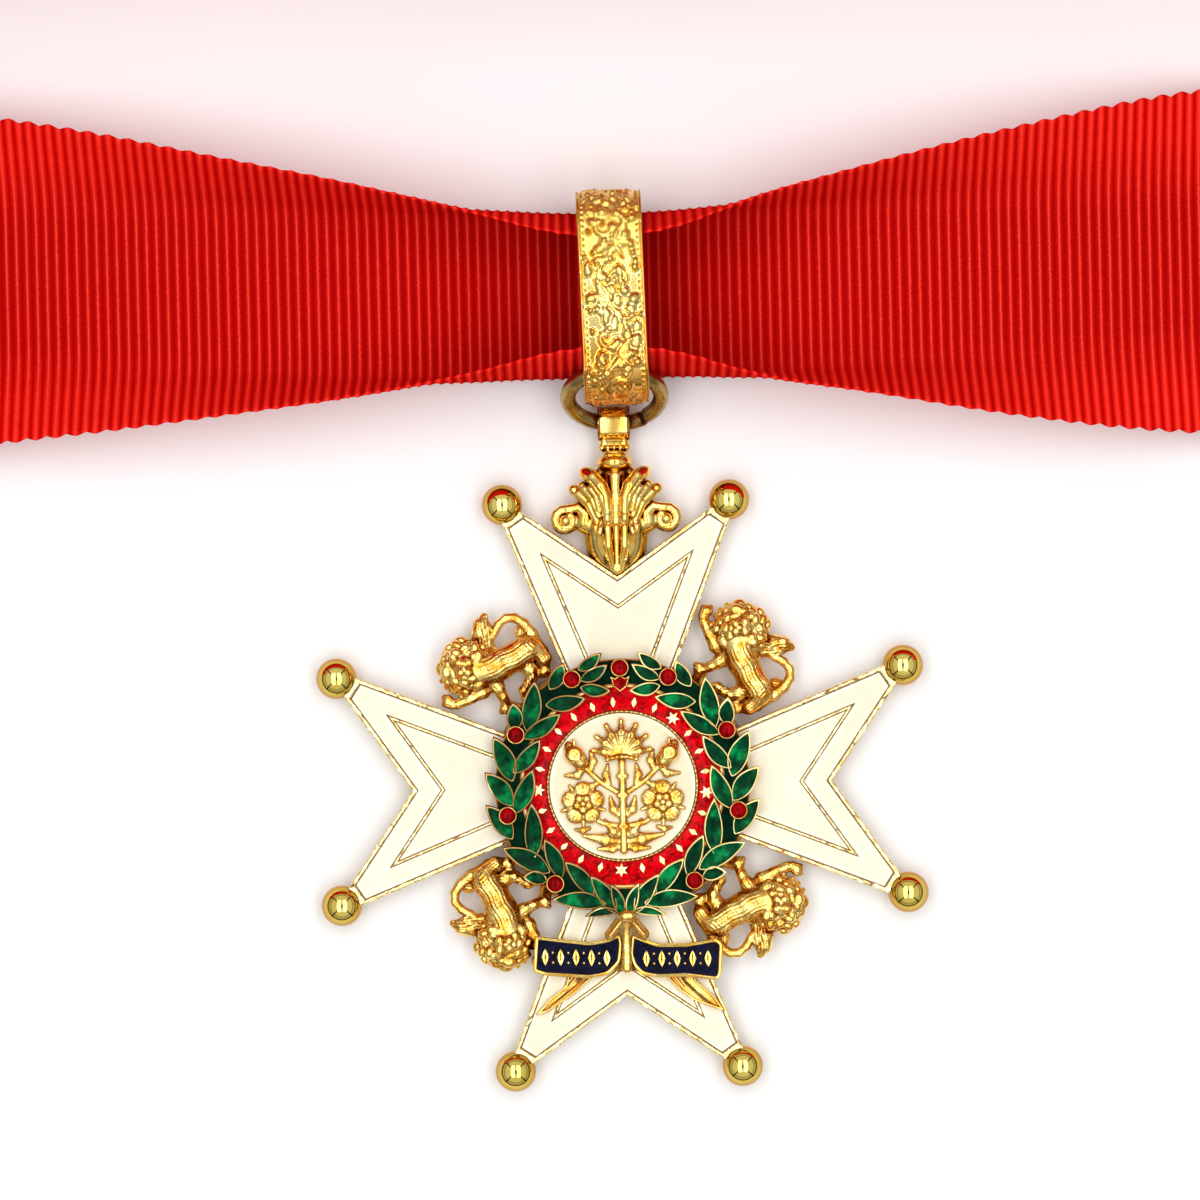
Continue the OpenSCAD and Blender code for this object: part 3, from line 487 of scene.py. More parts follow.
def cloth():
    """Grosgrain: painted highlights on the crests of its ribs over painted shade between them, by the
    distance along the ribbon.
    """
    m, nt, s = nodes_of("grosgrain")
    along, over = places_of(nt, "UV")[:2]
    threads = noise(nt, 0.3, 2, 0.7, (0.6, 1, 1), "UV")
    crest = maths(nt, "PINGPONG", maths(nt, "MULTIPLY_ADD", threads, 0.26, along), RIB / 2)
    rib_light = maths(nt, "DIVIDE", crest, RIB / 2)
    # painted light: the crests of the ribs lit, the hollows between them shaded
    col = ramp(nt, rib_light, (0.0, 0.92, 0.075, 0.05), (0.2, 0.66, 0.012, 0.008), (0.42, 0.46, 0.004, 0.003),
               (1.0, 0.36, 0.001, 0.001))
    # painted light on the turned up sides, which face the light
    side = ramp(nt, rib_light, (0.0, 0.98, 0.05, 0.03), (0.4, 0.86, 0.014, 0.008), (0.75, 0.58, 0.004, 0.003),
                (1.0, 0.44, 0.001, 0.001))
    far = maths(nt, "ABSOLUTE", over)
    col = mixed(nt, span(nt, far, 7.0, 15.0), col, side, "MIX")
    # painted shade, darker where it runs into the ring, but not on its turned up sides
    close = span(nt, maths(nt, "ABSOLUTE", along), 22.0, 3.0, 0.0, 0.5)
    col = mixed(nt, maths(nt, "MULTIPLY", close, span(nt, far, 13.5, 10.0)), col, (0.2, 0.0, 0.0, 1), "MIX")
    fill(nt, s, {"Base Color": col, "Roughness": 0.8, "Specular IOR Level": 0.0})
    bump(nt, s, threads, 0.05)
    return m


RIBBON = cloth()


def ease(v):
    """From 0 to 1 with a soft start and end."""
    v = np.clip(v, 0, 1)
    return v * v * (3 - 2 * v)


def stations():
    """Middle, turn, twist and fold at each drawn place round the loop."""
    smooth = lambda f, x, w=5.0: sum(f(x + w * k) for k in (-1, -0.5, 0, 0.5, 1)) / 5
    edge = lambda x: smooth(lambda p: np.interp(p, *zip(*MIDDLE)) - HALF_W, x)
    # the far turns of the loop, right and left of the ring
    radius = {s: (BACK_Y - edge(s * FRONT_HALF)) / 2 for s in (-1, 1)}
    arc = {s: math.pi * radius[s] for s in (-1, 1)}
    near, far = RIB / 6, RIB / 3
    side = {}
    for s in (-1, 1):
        run = np.concatenate([np.arange(0, 60 * RIB - 0.01, near),
                              np.arange(60 * RIB, 2 * FRONT_HALF + arc[s], far)])
        front, back = run < FRONT_HALF, run >= FRONT_HALF + arc[s]
        turn = np.clip((run - FRONT_HALF) / radius[s], 0, math.pi)
        ex = np.where(front, run, np.where(back, FRONT_HALF - (run - FRONT_HALF - arc[s]),
                                           FRONT_HALF + radius[s] * np.sin(turn)))
        ey = np.where(front, edge(s * run), edge(s * FRONT_HALF) + radius[s] * (1 - np.cos(turn)))
        twist = math.pi / 2 * ease((run - TWIST_START) / TWIST_LEN)
        fold_at = lambda x: np.interp(np.abs(x), *zip(*(FOLD_RIGHT if s > 0 else FOLD_LEFT)))
        fold = smooth(fold_at, run, 4.0)
        lift = RAISED + (LAID - RAISED) * ease((run - 4) / 18)
        keep = run < FRONT_HALF + arc[s] + FRONT_HALF - far / 2
        side[s] = np.column_stack([s * ex, ey, lift, s * turn, twist, fold, s * run])[keep]
    return np.vstack([side[-1][::-1][:-1], side[1]]), arc


def across(t, fold):
    """Point and slope of the section at a distance t from its middle, for each fold angle."""
    a = np.radians(np.maximum(fold, 0.01))[:, None]
    sign, t = np.sign(t)[None, :], np.abs(t)[None, :]
    phi = a * np.clip((t - FOLD_START) / FOLD_LEN, 0, 1)
    flat, rest = np.minimum(t, FOLD_START), np.maximum(t - FOLD_START - FOLD_LEN, 0)
    u = flat + FOLD_LEN / a * np.sin(phi) + rest * np.cos(a)
    v = FOLD_LEN / a * (1 - np.cos(phi)) + rest * np.sin(a)
    return sign * u, v, sign * phi


def make_ribbon():
    st, arc = stations()
    run, turn, twist, fold = st[:, 6], st[:, 3][:, None], st[:, 4][:, None], st[:, 5]
    # distances of the drawn points from the middle of the width
    half = np.array([0, 3.2, 6.35, 7.6, 8.85, 10.1, 11.35, 14.5, 17.6, 19.0, 19.42])
    t = np.concatenate([-half[::-1], half[1:]])
    thick = 0.36 * np.sqrt(np.clip(1 - (np.abs(t) / HALF_W) ** 24, 0.02, 1))
    u, v, phi = across(t, fold)
    rib = (1 - np.abs(np.sin(math.pi * run / RIB)))[:, None] ** 1.3
    scallop = np.abs(np.sin(math.pi * run / SELVEDGE))[:, None] * LOOP_DEPTH * (np.abs(t)[None, :] > 18.9)
    u = u + np.sign(t)[None, :] * scallop * np.cos(phi)
    v = v + scallop * np.abs(np.sin(phi))
    wave = 0.1 * np.sin(run / 7.3 + 1.0)[:, None] * np.sin(t / 9.0)[None, :]
    rings = []
    for face in (1, -1):
        off = face * (thick[None, :] * (0.6 + 0.5 * rib)) + wave
        rings.append(np.stack([u - off * np.sin(phi), v + off * np.cos(phi)], -1)[:, ::face])
    sec = np.concatenate(rings, 1)
    a = sec[..., 0] * np.cos(twist) - sec[..., 1] * np.sin(twist)
    b = sec[..., 0] * np.sin(twist) + sec[..., 1] * np.cos(twist)
    n = np.stack([-np.sin(turn), np.cos(turn)], -1)
    mid = st[:, :2][:, None, :] + n * (HALF_W * np.cos(twist))[..., None]
    z = st[:, 2][:, None] * np.cos(twist) + HALF_W * np.sin(twist)
    p = np.stack([mid[..., 0] + n[..., 0] * a, mid[..., 1] + n[..., 1] * a, z + b], -1)
    p[..., 2] = np.maximum(p[..., 2], 0.02)
    uv = np.stack(np.broadcast_arrays(run[:, None], np.concatenate([t, t[::-1]])[None, :]), -1)
    shape = Shape()
    shape.add(p, [q[::-1] for q in skin(len(run), sec.shape[1], True, True)], uv)
    obj = put("neck_ribbon", shape, RIBBON, "ribbon", angle=0)


make_ribbon()


# cross

TIP_IN = np.array([BALL_X - BALL_R, BALL_Y - 0.43 * BALL_R])
TIP_OUT = np.array([BALL_X - 0.02 * BALL_R, BALL_Y - 1.09 * BALL_R])
TIP_REACH = 0.35 * BALL_R
SIDE = (TIP_OUT[0] - ARM_ROOT) / TIP_OUT[1]
SIDE_LEN = math.hypot(1, SIDE)
NOTCH = (TIP_IN[1] - NOTCH_Y) / TIP_IN[0]
NOTCH_LEN = math.hypot(1, NOTCH)
TIP_DIR = unit(TIP_IN - TIP_OUT)


def corner(d):
    """Where the side and the notch of an arm meet, inset by d."""
    x = (ARM_ROOT + SIDE * (NOTCH_Y - d * NOTCH_LEN) - d * SIDE_LEN) / (1 - SIDE * NOTCH)
    return np.array([x, NOTCH_Y + NOTCH * x - d * NOTCH_LEN])


def arm_loop(d, tip=None, start=ARM_START):
    """Outline of an arm inset by d: root, side, tip, notch. tip is how far its point is cut."""
    a = b = c = corner(d)
    if tip is not None:
        end = TIP_OUT + left(TIP_DIR) * tip
        a, b = meet(end, TIP_DIR, c, np.array([SIDE, 1])), meet(end, TIP_DIR, c, np.array([1, NOTCH]))
    root = np.array([ARM_ROOT + SIDE * start - d * SIDE_LEN, start])
    flip = np.array([-1, 1])
    return np.array([root, a, b, np.array([0, NOTCH_Y - d * NOTCH_LEN]), b * flip, a * flip, root * flip])


def fine(loop, sizes):
    """The same share of points on each side of every loop, so that loops join."""
    sides = zip(loop, np.roll(loop, -1, 0), sizes)
    return np.array([p for a, b, n in sides for p in steps(a, b, n)])


# distance into the rim and height of a rounded metal line of a width
ROUND_LINE = [(0.0, -0.3), (0.09, -0.1), (0.25, -0.02), (0.5, 0.0), (0.75, -0.02), (0.91, -0.1), (1.0, -0.3)]


def make_cross():
    rng = np.random.default_rng(5)
    body, balls = Shape(), Shape()
    line = RIM_W + BAND_W
    # inset, cut of the tip and height of each loop, from the foot over the rim to the inner line
    rows = [(0.15, -TIP_REACH, PLATE_Z), (0, -TIP_REACH, PLATE_Z + 0.15)]
    rows += [(RIM_W * k, -TIP_REACH + (RIM_W + TIP_REACH) * k, TOP_Z + dz) for k, dz in ROUND_LINE]
    rows += [(RIM_W, RIM_W, FIELD_Z), (line, None, FIELD_Z)]
    rows += [(line + LINE_W * k, None, TOP_Z - 0.02 + dz * 0.8) for k, dz in ROUND_LINE]
    rows += [(line + LINE_W, None, FIELD_Z)]
    smooth = np.array([raise_to(fine(arm_loop(d, tip), (84, 4, 48, 48, 4, 84, 6)), z) for d, tip, z in rows])
    for turn in (0, 90, 180, 270):
        # hammer marks on the metal lines
        loops = smooth.copy()
        jitter = rng.normal(0, 0.05, (len(loops) - 1, loops.shape[1]))
        jitter = (jitter + np.roll(jitter, 1, 1) + 0.5 * np.roll(jitter, 1, 0)) / 2
        loops[4:7, :, 2] += jitter[3:6]
        loops[13:15, :, 2] += 0.7 * jitter[12:14]
        loft(body, turned(loops, turn))
        for s in (-1, 1):
            ball(balls, turned([s * BALL_X, BALL_Y, BALL_R], turn), BALL_R)
    lathe(body, [(AXIS, PLATE_Z), (BOSS_R, PLATE_Z), (BOSS_R, TOP_Z), (AXIS, TOP_Z)], closed=False)
    put("cross_body", body, GILT_LINE, "cross", angle=50, merge=0.002)
    put("cross_balls", balls, GILT_MIRROR)


# share of the band, or distance into the field, and height of the enamel's hollow surface
BAND_HOLLOW = [(0, 0.03), (0.04, -0.02), (0.1, -0.05), (0.22, -0.06), (0.4, -0.05), (0.6, -0.05),
               (0.78, -0.06), (0.9, -0.05), (0.96, -0.02), (1, 0.03)]
FIELD_HOLLOW = [(0, 0.03), (0.06, -0.02), (0.16, -0.05), (0.34, -0.06), (0.7, -0.05), (1.1, -0.045)]
ENAMEL_GAP, ENAMEL_DROP = 0.03, 0.11


def make_arm_enamel(label, turn):
    shape, low, top = Shape(), FIELD_Z + 0.02, TOP_Z - ENAMEL_DROP
    loop = lambda d, tip, sizes: fine(arm_loop(d, tip, ENAMEL_START), sizes)
    outer = loop(RIM_W + ENAMEL_GAP, RIM_W + ENAMEL_GAP, (12, 2, 12, 12, 2, 12, 1))
    inner = loop(RIM_W + BAND_W - ENAMEL_GAP, None, (12, 2, 12, 12, 2, 12, 1))
    rows = [raise_to(outer, low)]
    rows += [raise_to(outer + (inner - outer) * u, top + dz) for u, dz in BAND_HOLLOW]
    rows += [raise_to(inner, low)]
    grid = turned(np.array(rows).transpose(1, 0, 2), turn)
    n, m = grid.shape[:2]
    ends = [list(range(m)), [(n - 1) * m + i for i in range(m)][::-1]]
    shape.add(grid, [q[::-1] for q in skin(n, m, False, True)] + ends)
    d0 = RIM_W + BAND_W + LINE_W + ENAMEL_GAP
    field = [(d0, low)] + [(d0 + d, top + dz) for d, dz in FIELD_HOLLOW]
    loft(shape, [turned(raise_to(loop(d, None, (12, 1, 12, 12, 1, 12, 4)), z), turn) for d, z in field])
    put("arm_enamel_" + label, shape, CREAM, "enamel_" + label, angle=60, merge=0.002)


make_cross()
for label, turn in (("top", 0), ("right", -90), ("bottom", 180), ("left", 90)):
    make_arm_enamel(label, turn)


# lions

def fur(clay, a, b, width, pitch, depth):
    """Fine strands that run from a to b."""
    a, b = np.array(a, float), np.array(b, float)
    r = width * 1.6
    where, (x, y, z) = clay.part(np.append(np.minimum(a, b) - r, 0.5), np.append(np.maximum(a, b) + r, 6))
    along = unit(b - a)
    u = (x - a[0]) * along[0] + (y - a[1]) * along[1]
    v = -(x - a[0]) * along[1] + (y - a[1]) * along[0]
    out = np.maximum(np.maximum(-u, u - np.linalg.norm(b - a)), 0)
    weight = np.exp(-((v / width) ** 4 + (out / (0.5 * width)) ** 2))
    phase = v * TAU / pitch + 1.3 * np.sin(u * 2.3 + 0.7) + 0.6 * np.sin(z * 3.1)
    strands = 0.6 * np.sin(phase) + 0.4 * np.sin(2.1 * phase + 1.7 * u)
    clay.f[where] += (depth * weight * strands).astype(np.float32)


def paw(clay, at, radii, turn, heel, toe, spread):
    """A paw with three toes that run from heel to toe, spread in plan."""
    clay.egg(at, radii, 0.12, turn)
    for k in (-1, 0, 1):
        step = k * np.array([*spread, 0])
        clay.limb(heel + step, 0.24, toe + step, 0.24, 0.06)


def make_mane(c):
    c.egg((-17.15, 13.75, 2.5), (3.05, 2.95, 1.95), 0.4, 10)
    c.limb((-16.2, 15.8, 2.5), 0.9, (-14.6, 15.9, 2.5), 0.7, 0.3)
    c.limb((-15.8, 15.2, 3.1), 0.7, (-14.2, 14.8, 3.0), 0.75, 0.25)
    rng = np.random.default_rng(3)
    for i in range(42):
        reach, a = 2.95 * math.sqrt((i + 0.6) / 42), math.radians(137.5 * i)
        if reach < 1.2:
            continue
        s = rng.uniform(0.42, 0.66)
        x = -17.2 + reach * math.cos(a) + rng.uniform(-0.1, 0.1)
        y = 13.8 + reach * math.sin(a) + rng.uniform(-0.1, 0.1)
        z = 2.3 + 1.95 * math.sqrt(max(0.03, 1 - (reach / 3.1) ** 2)) + rng.uniform(-0.2, 0.2)
        c.egg((x, y, z), (1.25 * s, 0.9 * s, s), 0.1, math.degrees(a) + rng.uniform(30, 110))
        # a groove that winds inwards makes the lock a curl
        curl = [(math.radians(90 * k) + a, 0.55 * s * (1 - 0.2 * k)) for k in range(5)]
        curl = [(x + w * math.cos(b), y + w * math.sin(b)) for b, w in curl]
        for p, q in zip(curl[:-1], curl[1:]):
            c.dent((*p, z + 0.9 * s), 0.09, (*q, z + 0.95 * s), 0.08, 0.05)
    for i in range(8):
        a = math.radians(205 + 17 * i)
        c.limb((-17.3 + 1.7 * math.cos(a), 13.6 + 1.6 * math.sin(a), 3.6), 0.36,
               (-17.1 + 3.1 * math.cos(a), 13.5 + 3.0 * math.sin(a), 2.7), 0.26, 0.08)


# start, end, width, pitch and depth of the fur on the trunk, legs and tuft
FUR = [
    ((-14.6, 13.6), (-10.6, 15.6), 1.6, 0.42, 0.08), ((-10.4, 15.9), (-8.6, 14.2), 1.0, 0.4, 0.07),
    ((-14.2, 12.2), (-13.0, 9.9), 0.8, 0.36, 0.06), ((-15.3, 10.8), (-18.4, 9.5), 0.7, 0.36, 0.06),
    ((-10.2, 13.6), (-10.4, 11.0), 0.8, 0.36, 0.06), ((-14.9, 16.5), (-15.2, 19.2), 1.0, 0.4, 0.08),
    ((-10.9, 16.3), (-10.3, 18.0), 0.8, 0.34, 0.08),
]


def make_lion_form():
    c = Clay((-21.8, 7.4, 0.5), (-6.6, 20.4, 5.7), 0.12)
    c.path([(-15.4, 13.4, 2.7, 1.95), (-13.6, 13.8, 2.8, 1.75), (-12.0, 14.5, 2.8, 1.5),
            (-10.7, 15.4, 2.8, 1.5)], 0.45)
    c.egg((-10.0, 15.55, 2.7), (1.6, 1.4, 1.4), 0.35, 35)
    c.limb((-10.3, 16.2, 2.4), 1.0, (-8.7, 15.2, 2.4), 0.8, 0.3)
    # hind legs
    c.path([(-9.2, 15.3, 2.8, 1.0), (-8.4, 14.4, 2.7, 0.75), (-8.3, 13.6, 2.5, 0.52)], 0.2)
    paw(c, (-8.45, 12.95, 2.5), (0.72, 0.62, 0.6), 20, (-8.45, 12.9, 2.75), (-8.5, 12.55, 2.6), (0.42, 0))
    c.path([(-10.7, 14.2, 2.4, 1.1), (-10.0, 13.2, 2.5, 0.85), (-9.85, 12.4, 2.5, 0.62),
            (-10.3, 11.5, 2.4, 0.48), (-10.8, 10.8, 2.2, 0.5)], 0.22)
    c.limb((-10.7, 10.9, 1.9), 0.6, (-10.3, 10.2, 1.5), 0.75, 0.2)
    # front legs
    c.path([(-14.4, 12.4, 2.5, 1.15), (-13.6, 11.2, 2.6, 0.72), (-13.1, 10.2, 2.5, 0.52),
            (-12.8, 9.5, 2.3, 0.48)], 0.22)
    paw(c, (-12.75, 9.0, 2.1), (0.75, 0.6, 0.62), -30, (-12.8, 8.95, 2.4), (-12.95, 8.55, 2.2), (0.4, 0))
    c.limb((-12.6, 9.2, 1.8), 0.65, (-11.4, 8.7, 1.45), 0.7, 0.25)
    c.path([(-15.9, 11.8, 2.4, 1.05), (-15.3, 10.8, 2.5, 0.72), (-16.7, 10.2, 2.6, 0.6),
            (-18.0, 9.6, 2.5, 0.5), (-18.8, 9.5, 2.4, 0.5)], 0.22)
    paw(c, (-19.25, 9.85, 2.4), (0.62, 0.72, 0.62), 20, (-19.35, 9.9, 2.65), (-19.7, 9.95, 2.5), (0, 0.42))
    # tail with its tuft
    c.path([(-9.3, 15.9, 2.5, 0.8), (-9.7, 17.2, 2.6, 0.6), (-10.6, 18.4, 2.7, 0.5),
            (-11.6, 19.05, 2.7, 0.45), (-12.6, 19.05, 2.8, 0.42), (-13.4, 18.4, 2.9, 0.42),
            (-14.0, 17.4, 2.9, 0.44), (-14.7, 16.6, 2.8, 0.5)], 0.18)
    c.egg((-10.7, 17.1, 2.1), (0.75, 1.2, 0.7), 0.2, 35)
    c.path([(-14.8, 16.4, 2.7, 0.6), (-15.6, 17.4, 2.8, 0.85), (-15.5, 18.4, 2.8, 0.7),
            (-15.0, 19.3, 2.7, 0.35)], 0.15)
    c.path([(-14.9, 16.8, 3.1, 0.42), (-14.6, 17.9, 3.0, 0.44), (-14.8, 18.8, 2.8, 0.3)], 0.08)
    c.dent((-15.0, 17.0, 3.7), 0.14, (-15.1, 18.7, 3.4), 0.12, 0.1)
    make_mane(c)
    # face
    c.egg((-17.35, 13.6, 4.1), (1.15, 1.3, 0.75), 0.15)
    for s in (-1, 1):
        c.egg((-17.4 + 0.55 * s, 14.15, 4.75), (0.46, 0.4, 0.32), 0.08, -12 * s)
        c.egg((-17.35 + 0.42 * s, 13.05, 4.75), (0.45, 0.42, 0.36), 0.08)
        c.egg((-17.4 + 1.15 * s, 14.85, 4.35), (0.42, 0.42, 0.36), 0.08)
        c.dent((-17.4 + 0.62 * s, 13.78, 5.0), 0.13, (-17.4 + 0.4 * s, 13.72, 5.0), 0.1, 0.06)
    c.limb((-17.38, 14.1, 4.75), 0.2, (-17.36, 13.45, 4.95), 0.26, 0.1)
    c.egg((-17.35, 13.3, 4.98), (0.3, 0.2, 0.2), 0.05)
    c.egg((-17.35, 12.5, 4.5), (0.5, 0.3, 0.35), 0.1)
    c.dent((-17.75, 12.78, 4.95), 0.09, (-16.95, 12.78, 4.95), 0.09, 0.06)
    for row in FUR:
        fur(c, *row)
    c.swell(0.08)
    c.above(PLATE_Z)
    return c.mesh()


LION = make_lion_form()
for label, turn in (("upper_left", 0), ("upper_right", -90), ("lower_right", 180), ("lower_left", 90)):
    form = Shape(turned(LION[0], turn), LION[1])
    put("cast_lion_" + label, form, GILT_CAST, "lion_" + label, angle=0)


# finial

def make_finial():
    c = Clay((-8.2, 22.4, -0.1), (8.2, 39.4, 6.4), 0.11)
    # body, and the smooth lower leaf
    c.egg((0, 31.4, 1.9), (3.3, 4.2, 2.0), 0.4)
    c.path([(0, 28.7, 1.6, 3.75), (0, 27.1, 1.7, 3.45), (0, 25.5, 2.1, 2.3), (0, 24.4, 2.6, 1.15),
            (0, 23.7, 2.9, 0.5)], 0.4, 0.8)
    c.limb((0, 33.6, 2.3), 2.1, (0, 35.6, 2.5), 1.5, 0.4, 0.9)
    for c.side in (-1, 1):
        c.path([(0.95, 28.9, 4.5, 0.42), (0.9, 26.8, 4.5, 0.44), (0.36, 24.1, 3.6, 0.28)], 0.07)
        # broad upper leaf that ends in a knob
        c.path([(0.95, 29.4, 4.3, 0.44), (1.0, 30.7, 4.5, 0.6), (1.15, 32.2, 4.6, 0.76),
                (1.65, 33.5, 4.45, 0.86), (2.45, 34.5, 3.95, 0.86), (3.05, 34.9, 3.4, 0.8)], 0.1)
        c.egg((3.2, 35.0, 3.1), (0.86, 0.74, 0.9), 0.08, 30)
        c.path([(2.6, 33.8, 2.4, 0.9), (1.3, 35.2, 2.3, 0.9)], 0.3)
        # three fingers beside it
        c.limb((2.5, 31.4, 2.0), 1.3, (3.7, 32.6, 2.0), 0.9, 0.3)
        c.path([(2.1, 29.6, 4.0, 0.42), (2.95, 31.5, 3.9, 0.54), (4.1, 32.7, 3.3, 0.62)], 0.07)
        c.egg((4.6, 33.15, 2.9), (0.72, 0.64, 0.8), 0.06, 40)
        c.path([(1.9, 30.2, 4.25, 0.4), (2.6, 32.0, 4.15, 0.48), (3.4, 33.2, 3.65, 0.54)], 0.06)
        c.egg((3.7, 33.55, 3.3), (0.55, 0.58, 0.68), 0.05)
        c.path([(1.8, 30.8, 4.45, 0.34), (2.15, 32.3, 4.45, 0.4), (2.75, 33.2, 4.1, 0.44)], 0.05)
        # curls at the waist
        c.path([(2.3, 29.1, 4.2, 0.34), (2.3, 28.5, 4.3, 0.34), (1.85, 28.3, 4.5, 0.32),
                (1.75, 28.75, 4.6, 0.28)], 0.05)
        # volute, a thick roll with its eye
        c.egg((5.7, 29.8, 2.0), (1.6, 1.6, 1.0), 0.2)
        turns = []
        for k in range(11):
            t = k / 10
            a = math.radians(105 - 330 * t)
            r = 1.25 - 0.45 * t
            turns.append((5.7 + r * math.cos(a), 29.8 + r * math.sin(a), 2.7 + 0.45 * t, 0.58 - 0.2 * t))
        c.path([(3.3, 30.5, 3.1, 0.55), (4.2, 31.2, 2.9, 0.58)] + turns, 0.05)
        c.egg((5.62, 29.75, 3.05), (0.68, 0.68, 0.72), 0.04)
        c.egg((3.5, 29.7, 2.2), (1.25, 1.5, 1.5), 0.3)
        # flutes
        c.dent((0.22, 29.5, 5.0), 0.1, (0.28, 34.8, 4.5), 0.12, 0.06)
        c.dent((0.46, 28.8, 4.85), 0.12, (0.22, 24.8, 3.95), 0.1, 0.07)
        c.dent((1.42, 28.6, 4.6), 0.14, (0.85, 25.2, 4.0), 0.1, 0.1)
        c.dent((1.25, 30.6, 5.15), 0.12, (1.5, 32.4, 5.4), 0.16, 0.12)
        c.dent((1.5, 32.4, 5.4), 0.16, (2.7, 34.1, 4.75), 0.13, 0.12)
        c.dent((0.0, 29.25, 5.0), 0.16, (2.3, 29.35, 4.5), 0.16, 0.08)
    c.limb((0, 28.9, 4.7), 0.38, (0, 24.0, 3.65), 0.26, 0.05)
    c.path([(0, 29.3, 4.4, 0.55), (0, 31.6, 4.35, 0.6), (0, 34.6, 3.75, 0.75)], 0.06, 0.8)
    # smooth top with its collar and beads under the bail
    c.egg((0, 36.15, 3.0), (1.95, 1.15, 1.8), 0.1)
    c.egg((0, 37.25, 2.5), (1.5, 0.3, 1.5), 0.05)
    c.limb((-1.0, 37.75, 2.4), 0.55, (1.0, 37.75, 2.4), 0.55, 0.06)
    for x in (-1.4, -0.7, 0.0, 0.7, 1.4):
        c.egg((x, 37.8, 2.75), (0.4, 0.36, 0.6), 0.04)
    c.limb((-1.0, 38.5, 2.4), 0.7, (1.0, 38.5, 2.4), 0.7, 0.08)
    spine = lambda x, y: np.exp(-(x / 0.5) ** 2) * (y > 29.3) * (y < 34)
    c.ripple(lambda x, y, z: 0.035 * np.sin(23 * x) * np.sin(19 * y) * spine(x, y))
    c.cut(lambda x, y, z: np.sqrt((y - BAIL_Y) ** 2 + (z - BAIL_Z) ** 2) - (BAIL_HOLE + 0.35))
    ends = arm_loop(-0.05)[2:4]
    slope = unit(ends[0] - ends[1])
    arms = lambda x, y: (y - ends[1][1]) * slope[0] - np.abs(x) * slope[1]
    c.cut(lambda x, y, z: np.maximum(arms(x, y), z - (TOP_Z + 0.05)) + 0 * x)
    c.above(0.35)
    put("cast_finial", Shape(*c.mesh()), GILT, "finial", angle=50)


def make_bail():
    """Strap round the jump ring, with a flat facet in front."""
    ring, ri = [], BAIL_HOLE
    for a in np.arange(72) * TAU / 72:
        turn = math.degrees(a)
        facet = math.cos(math.radians(28)) / math.cos(a - math.radians(100)) if 72 < turn < 128 else 1.0
        ro = (ri + BAIL_T) * facet
        w = BAIL_W / 2 - (0.22 if turn <= 72 else 0)
        rim = [(ri, w - 0.1), (ri + 0.1, w), (ro - 0.1, w), (ro, w - 0.08), (ro, w - 0.2),
               (ro - 0.06, w - 0.26)]
        prof = [(r, -x) for r, x in rim]
        prof += [(ro - 0.04 - 0.1 * (x / w) ** 2, x) for x in np.linspace(-w + 0.34, w - 0.34, 9)] + rim[::-1]
        ring.append([(x, BAIL_Y + r * math.cos(a), BAIL_Z + r * math.sin(a)) for r, x in prof])
    put("bail_strap", Shape(ring, skin(len(ring), len(prof), True, True)), GILT, angle=30)


make_finial()
make_bail()


# back plate, medallion and wreath

def make_back():
    shape = Shape()
    lathe(shape, [(AXIS, 0.0), (BACK_R - 0.15, 0.0), (BACK_R, 0.12), (BACK_R, PLATE_Z - 0.1),
                  (BACK_R - 0.1, PLATE_Z), (AXIS, PLATE_Z)], n=128, closed=False)
    put("back_disc", shape, GILT_PLAIN, "back_plate", merge=0.001)


def star(points, outer, inner):
    angles = [math.radians(30 + 360 * j / (2 * points)) for j in range(2 * points)]
    radii = [outer, inner] * points
    return np.array([[r * math.cos(a), r * math.sin(a)] for r, a in zip(radii, angles)])


def lozenge(x, y):
    return np.array([[x, 0], [0, y], [-x, 0], [0, -y]])


def raised(shape, outline, centre, turn, z0, z1, edge):
    """A low ornament with a rounded top edge."""
    rows = [(1, z0), (1, z1 - 0.06), (0.5 + edge / 2, z1 - 0.018), (edge, z1)]
    loft(shape, [raise_to(turned(outline * k, turn) + centre, z) for k, z in rows])


